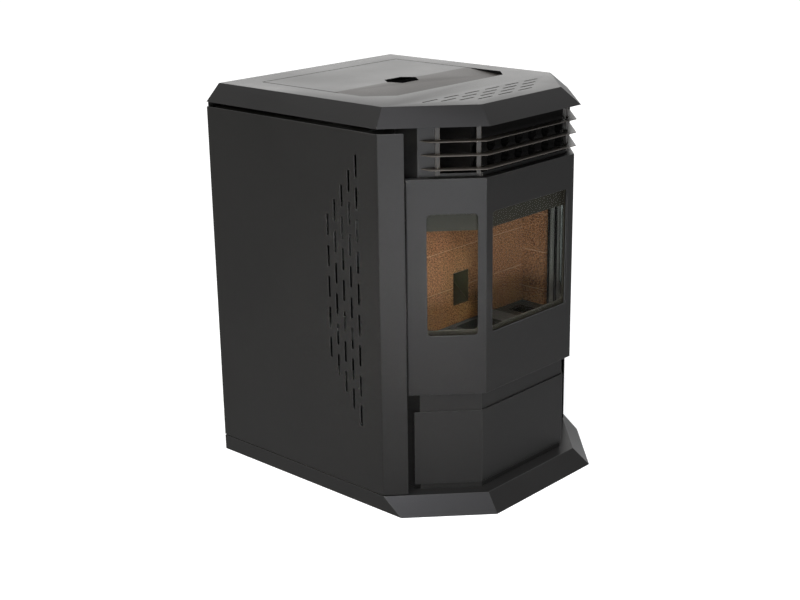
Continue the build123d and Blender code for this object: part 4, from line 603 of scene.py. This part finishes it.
def makeTree(name, inputs):
    tree = bpy.data.node_groups.new(name, "GeometryNodeTree")
    for label, kind in inputs.items():
        tree.interface.new_socket(label, in_out="INPUT", socket_type="NodeSocket" + kind)
    tree.interface.new_socket("Geometry", in_out="OUTPUT", socket_type="NodeSocketGeometry")
    return tree


def endTree(tree, geometry, finish):
    real = addNode(tree, "GeometryNodeRealizeInstances", {0: geometry})
    coated = addNode(tree, "GeometryNodeSetMaterial", {"Geometry": real.outputs[0], "Material": finish})
    addNode(tree, "NodeGroupOutput", {0: coated.outputs[0]})
    return tree


def growTree(name, tree, values, points=()):
    # runs a node tree once on the given points and hands back its plain mesh
    spots = bpy.data.meshes.new(name)
    spots.from_pydata(points, [], [])
    holder = bpy.data.objects.new(name, spots)
    bpy.context.scene.collection.objects.link(holder)
    growth = holder.modifiers.new(name, "NODES")
    growth.node_group = tree
    for item in tree.interface.items_tree:
        if item.item_type == "SOCKET" and item.in_out == "INPUT" and item.name in values:
            growth[item.identifier] = values[item.name]
    graph = bpy.context.evaluated_depsgraph_get()
    mesh = bpy.data.meshes.new_from_object(holder.evaluated_get(graph))
    bpy.data.objects.remove(holder)
    return mesh


def braidTree(finish, look):
    # two sets of strands wind opposite ways and ripple over and under each other
    tree = makeTree("ropeBraid", {
        **dict.fromkeys(("Length", "Core", "Strand", "Weave", "Turn"), "Float"),
        **dict.fromkeys(("Strands", "Steps"), "Int")})
    given = addNode(tree, "NodeGroupInput").outputs
    joined = addNode(tree, "GeometryNodeJoinGeometry")
    for hand in (1.0, -1.0):
        line = addNode(tree, "GeometryNodeCurvePrimitiveLine", {"End": joinAxes(tree, z=given["Length"])})
        fine = addNode(tree, "GeometryNodeResampleCurve", {"Curve": line.outputs[0], "Count": given["Steps"]})
        height = splitAxes(tree, addNode(tree, "GeometryNodeInputPosition").outputs[0])["Z"]
        angle = reckon(tree, "MULTIPLY", reckon(tree, "DIVIDE", height, given["Turn"]), 2 * pi * hand)
        ripple = reckon(tree, "COSINE", reckon(tree, "MULTIPLY", angle, given["Strands"]))
        swing = reckon(tree, "MULTIPLY", reckon(tree, "MULTIPLY", ripple, hand), given["Weave"])
        radius = reckon(tree, "ADD", given["Core"], swing)
        across, deep = (reckon(tree, "MULTIPLY", reckon(tree, side, angle), radius)
                        for side in ("COSINE", "SINE"))
        bent = addNode(tree, "GeometryNodeSetPosition", {
            "Geometry": fine.outputs[0], "Position": joinAxes(tree, across, deep, height)})
        thread = addNode(tree, "GeometryNodeCurvePrimitiveCircle", {
            "Resolution": look["threadSides"], "Radius": given["Strand"]})
        strand = addNode(tree, "GeometryNodeCurveToMesh", {
            "Curve": bent.outputs[0], "Profile Curve": thread.outputs[0], "Fill Caps": True})
        spots = addNode(tree, "GeometryNodePoints", {"Count": given["Strands"]})
        index = addNode(tree, "GeometryNodeInputIndex").outputs[0]
        step = reckon(tree, "MULTIPLY", reckon(tree, "DIVIDE", index, given["Strands"]), 2 * pi)
        ring = addNode(tree, "GeometryNodeInstanceOnPoints", {
            "Points": spots.outputs[0], "Instance": strand.outputs[0], "Rotation": joinAxes(tree, z=step)})
        wire(tree, joined, {0: ring.outputs[0]})
    return endTree(tree, joined.outputs[0], finish)


def layRopes(look):
    low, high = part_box("firebox_seals")
    ropeRadius = (high.y - low.y) / 2
    rope = finishes["rope"][0]
    tree = braidTree(rope, look)
    values = {"Length": high.z - low.z, "Core": ropeRadius - look["strandRadius"] - look["weaveDepth"],
              "Strand": look["strandRadius"], "Weave": look["weaveDepth"], "Turn": look["turn"],
              "Strands": look["strands"], "Steps": look["steps"]}
    whole = bmesh.new()
    for across in (low.x + ropeRadius, high.x - ropeRadius):
        braid = growTree("sealBraid", tree, values)
        braid.transform(Matrix.Translation((across, (low.y + high.y) / 2, low.z)))
        whole.from_mesh(braid)
    for face in whole.faces:
        face.smooth = True
        face.material_index = 0
    bmesh.ops.recalc_face_normals(whole, faces=whole.faces)
    mesh = bpy.data.meshes.new("sealRopes")
    whole.to_mesh(mesh)
    whole.free()
    mesh.materials.append(rope)
    showPiece("seal_ropes", mesh, "case", "firebox_seals")


layRopes(braidLook)
print("rope seals braided")

# ---- screws of the back panel
screwLook = {
    "headRadius": 0.0044, "domeHeight": 0.0019, "recessLength": 0.0050, "recessWidth": 0.0011,
    "recessDepth": 0.0012, "shankRadius": 0.0019, "headRoom": 0.002, "domeSegments": 28, "domeRings": 16,
    "shankSides": 20, "undercut": 3.0, "smoothAngle": 40.0,
}


def screwTree(finish, look):
    # a dome cut flat underneath and crossed by two bars, on its shank
    tree = makeTree("panScrew", {"Spots": "Geometry", **dict.fromkeys(
        ("Head", "Dome", "Recess", "Slot", "Depth", "Shank", "Reach"), "Float")})
    given = addNode(tree, "NodeGroupInput").outputs

    def scaled(label, factor):
        return reckon(tree, "MULTIPLY", given[label], factor)

    def transform(shape, **change):
        return addNode(tree, "GeometryNodeTransform", {"Geometry": shape.outputs[0], **change})

    def block(*size):
        return addNode(tree, "GeometryNodeMeshCube", {"Size": joinAxes(tree, *size)})

    ball = addNode(tree, "GeometryNodeMeshUVSphere", {
        "Segments": look["domeSegments"], "Rings": look["domeRings"], "Radius": 1.0})
    dome = transform(ball, Scale=joinAxes(tree, given["Head"], given["Head"], given["Dome"]))
    under = block(scaled("Head", look["undercut"]), scaled("Head", look["undercut"]), scaled("Dome", 2.0))
    lowered = transform(under, Translation=joinAxes(tree, z=scaled("Dome", -1.0)))
    cuts = addNode(tree, "GeometryNodeJoinGeometry")
    for wide, tall in (("Recess", "Slot"), ("Slot", "Recess")):
        bar = block(given[wide], given[tall], scaled("Depth", 2.0))
        raised = transform(bar, Translation=joinAxes(tree, z=given["Dome"]))
        wire(tree, cuts, {0: raised.outputs[0]})
    wire(tree, cuts, {0: lowered.outputs[0]})
    head = addNode(tree, "GeometryNodeMeshBoolean", {"Mesh 1": dome.outputs[0]}, operation="DIFFERENCE")
    wire(tree, head, {"Mesh 2": cuts.outputs[0]})
    shank = addNode(tree, "GeometryNodeMeshCylinder", {
        "Vertices": look["shankSides"], "Radius": given["Shank"], "Depth": given["Reach"]})
    sunk = transform(shank, Translation=joinAxes(tree, z=scaled("Reach", -0.5)))
    screw = addNode(tree, "GeometryNodeJoinGeometry")
    wire(tree, screw, {0: head.outputs[0]})
    wire(tree, screw, {0: sunk.outputs[0]})
    placed = addNode(tree, "GeometryNodeInstanceOnPoints", {
        "Points": given["Spots"], "Instance": screw.outputs[0], "Rotation": joinAxes(tree, -pi / 2)})
    return endTree(tree, placed.outputs[0], finish)


def driveScrews(look):
    # one screw wherever the CAD has one
    source = bmesh.new()
    source.from_mesh(mergedMesh("back_screws"))
    unseen, spots, reach = set(source.verts), [], 0.0
    while unseen:
        island, edge = set(), [unseen.pop()]
        while edge:
            vert = edge.pop()
            island.add(vert)
            for link in vert.link_edges:
                other = link.other_vert(vert)
                if other in unseen:
                    unseen.discard(other)
                    edge.append(other)
        low, high = (Vector([pick(v.co[axis] for v in island) for axis in range(3)]) for pick in (min, max))
        seat = high.y - look["headRoom"]
        spots.append(((low.x + high.x) / 2, seat, (low.z + high.z) / 2))
        reach = seat - low.y
    source.free()
    values = {"Head": look["headRadius"], "Dome": look["domeHeight"], "Recess": look["recessLength"],
              "Slot": look["recessWidth"], "Depth": look["recessDepth"], "Shank": look["shankRadius"],
              "Reach": reach}
    mesh = growTree("panScrews", screwTree(finishes["fixing"][0], look), values, spots)
    for face in mesh.polygons:
        face.use_smooth = True
    mesh.set_sharp_from_angle(angle=radians(look["smoothAngle"]))
    showPiece("panel_screws", mesh, "case", "back_screws")


driveScrews(screwLook)
print("screws driven")

print("sizes kept, stove finished")
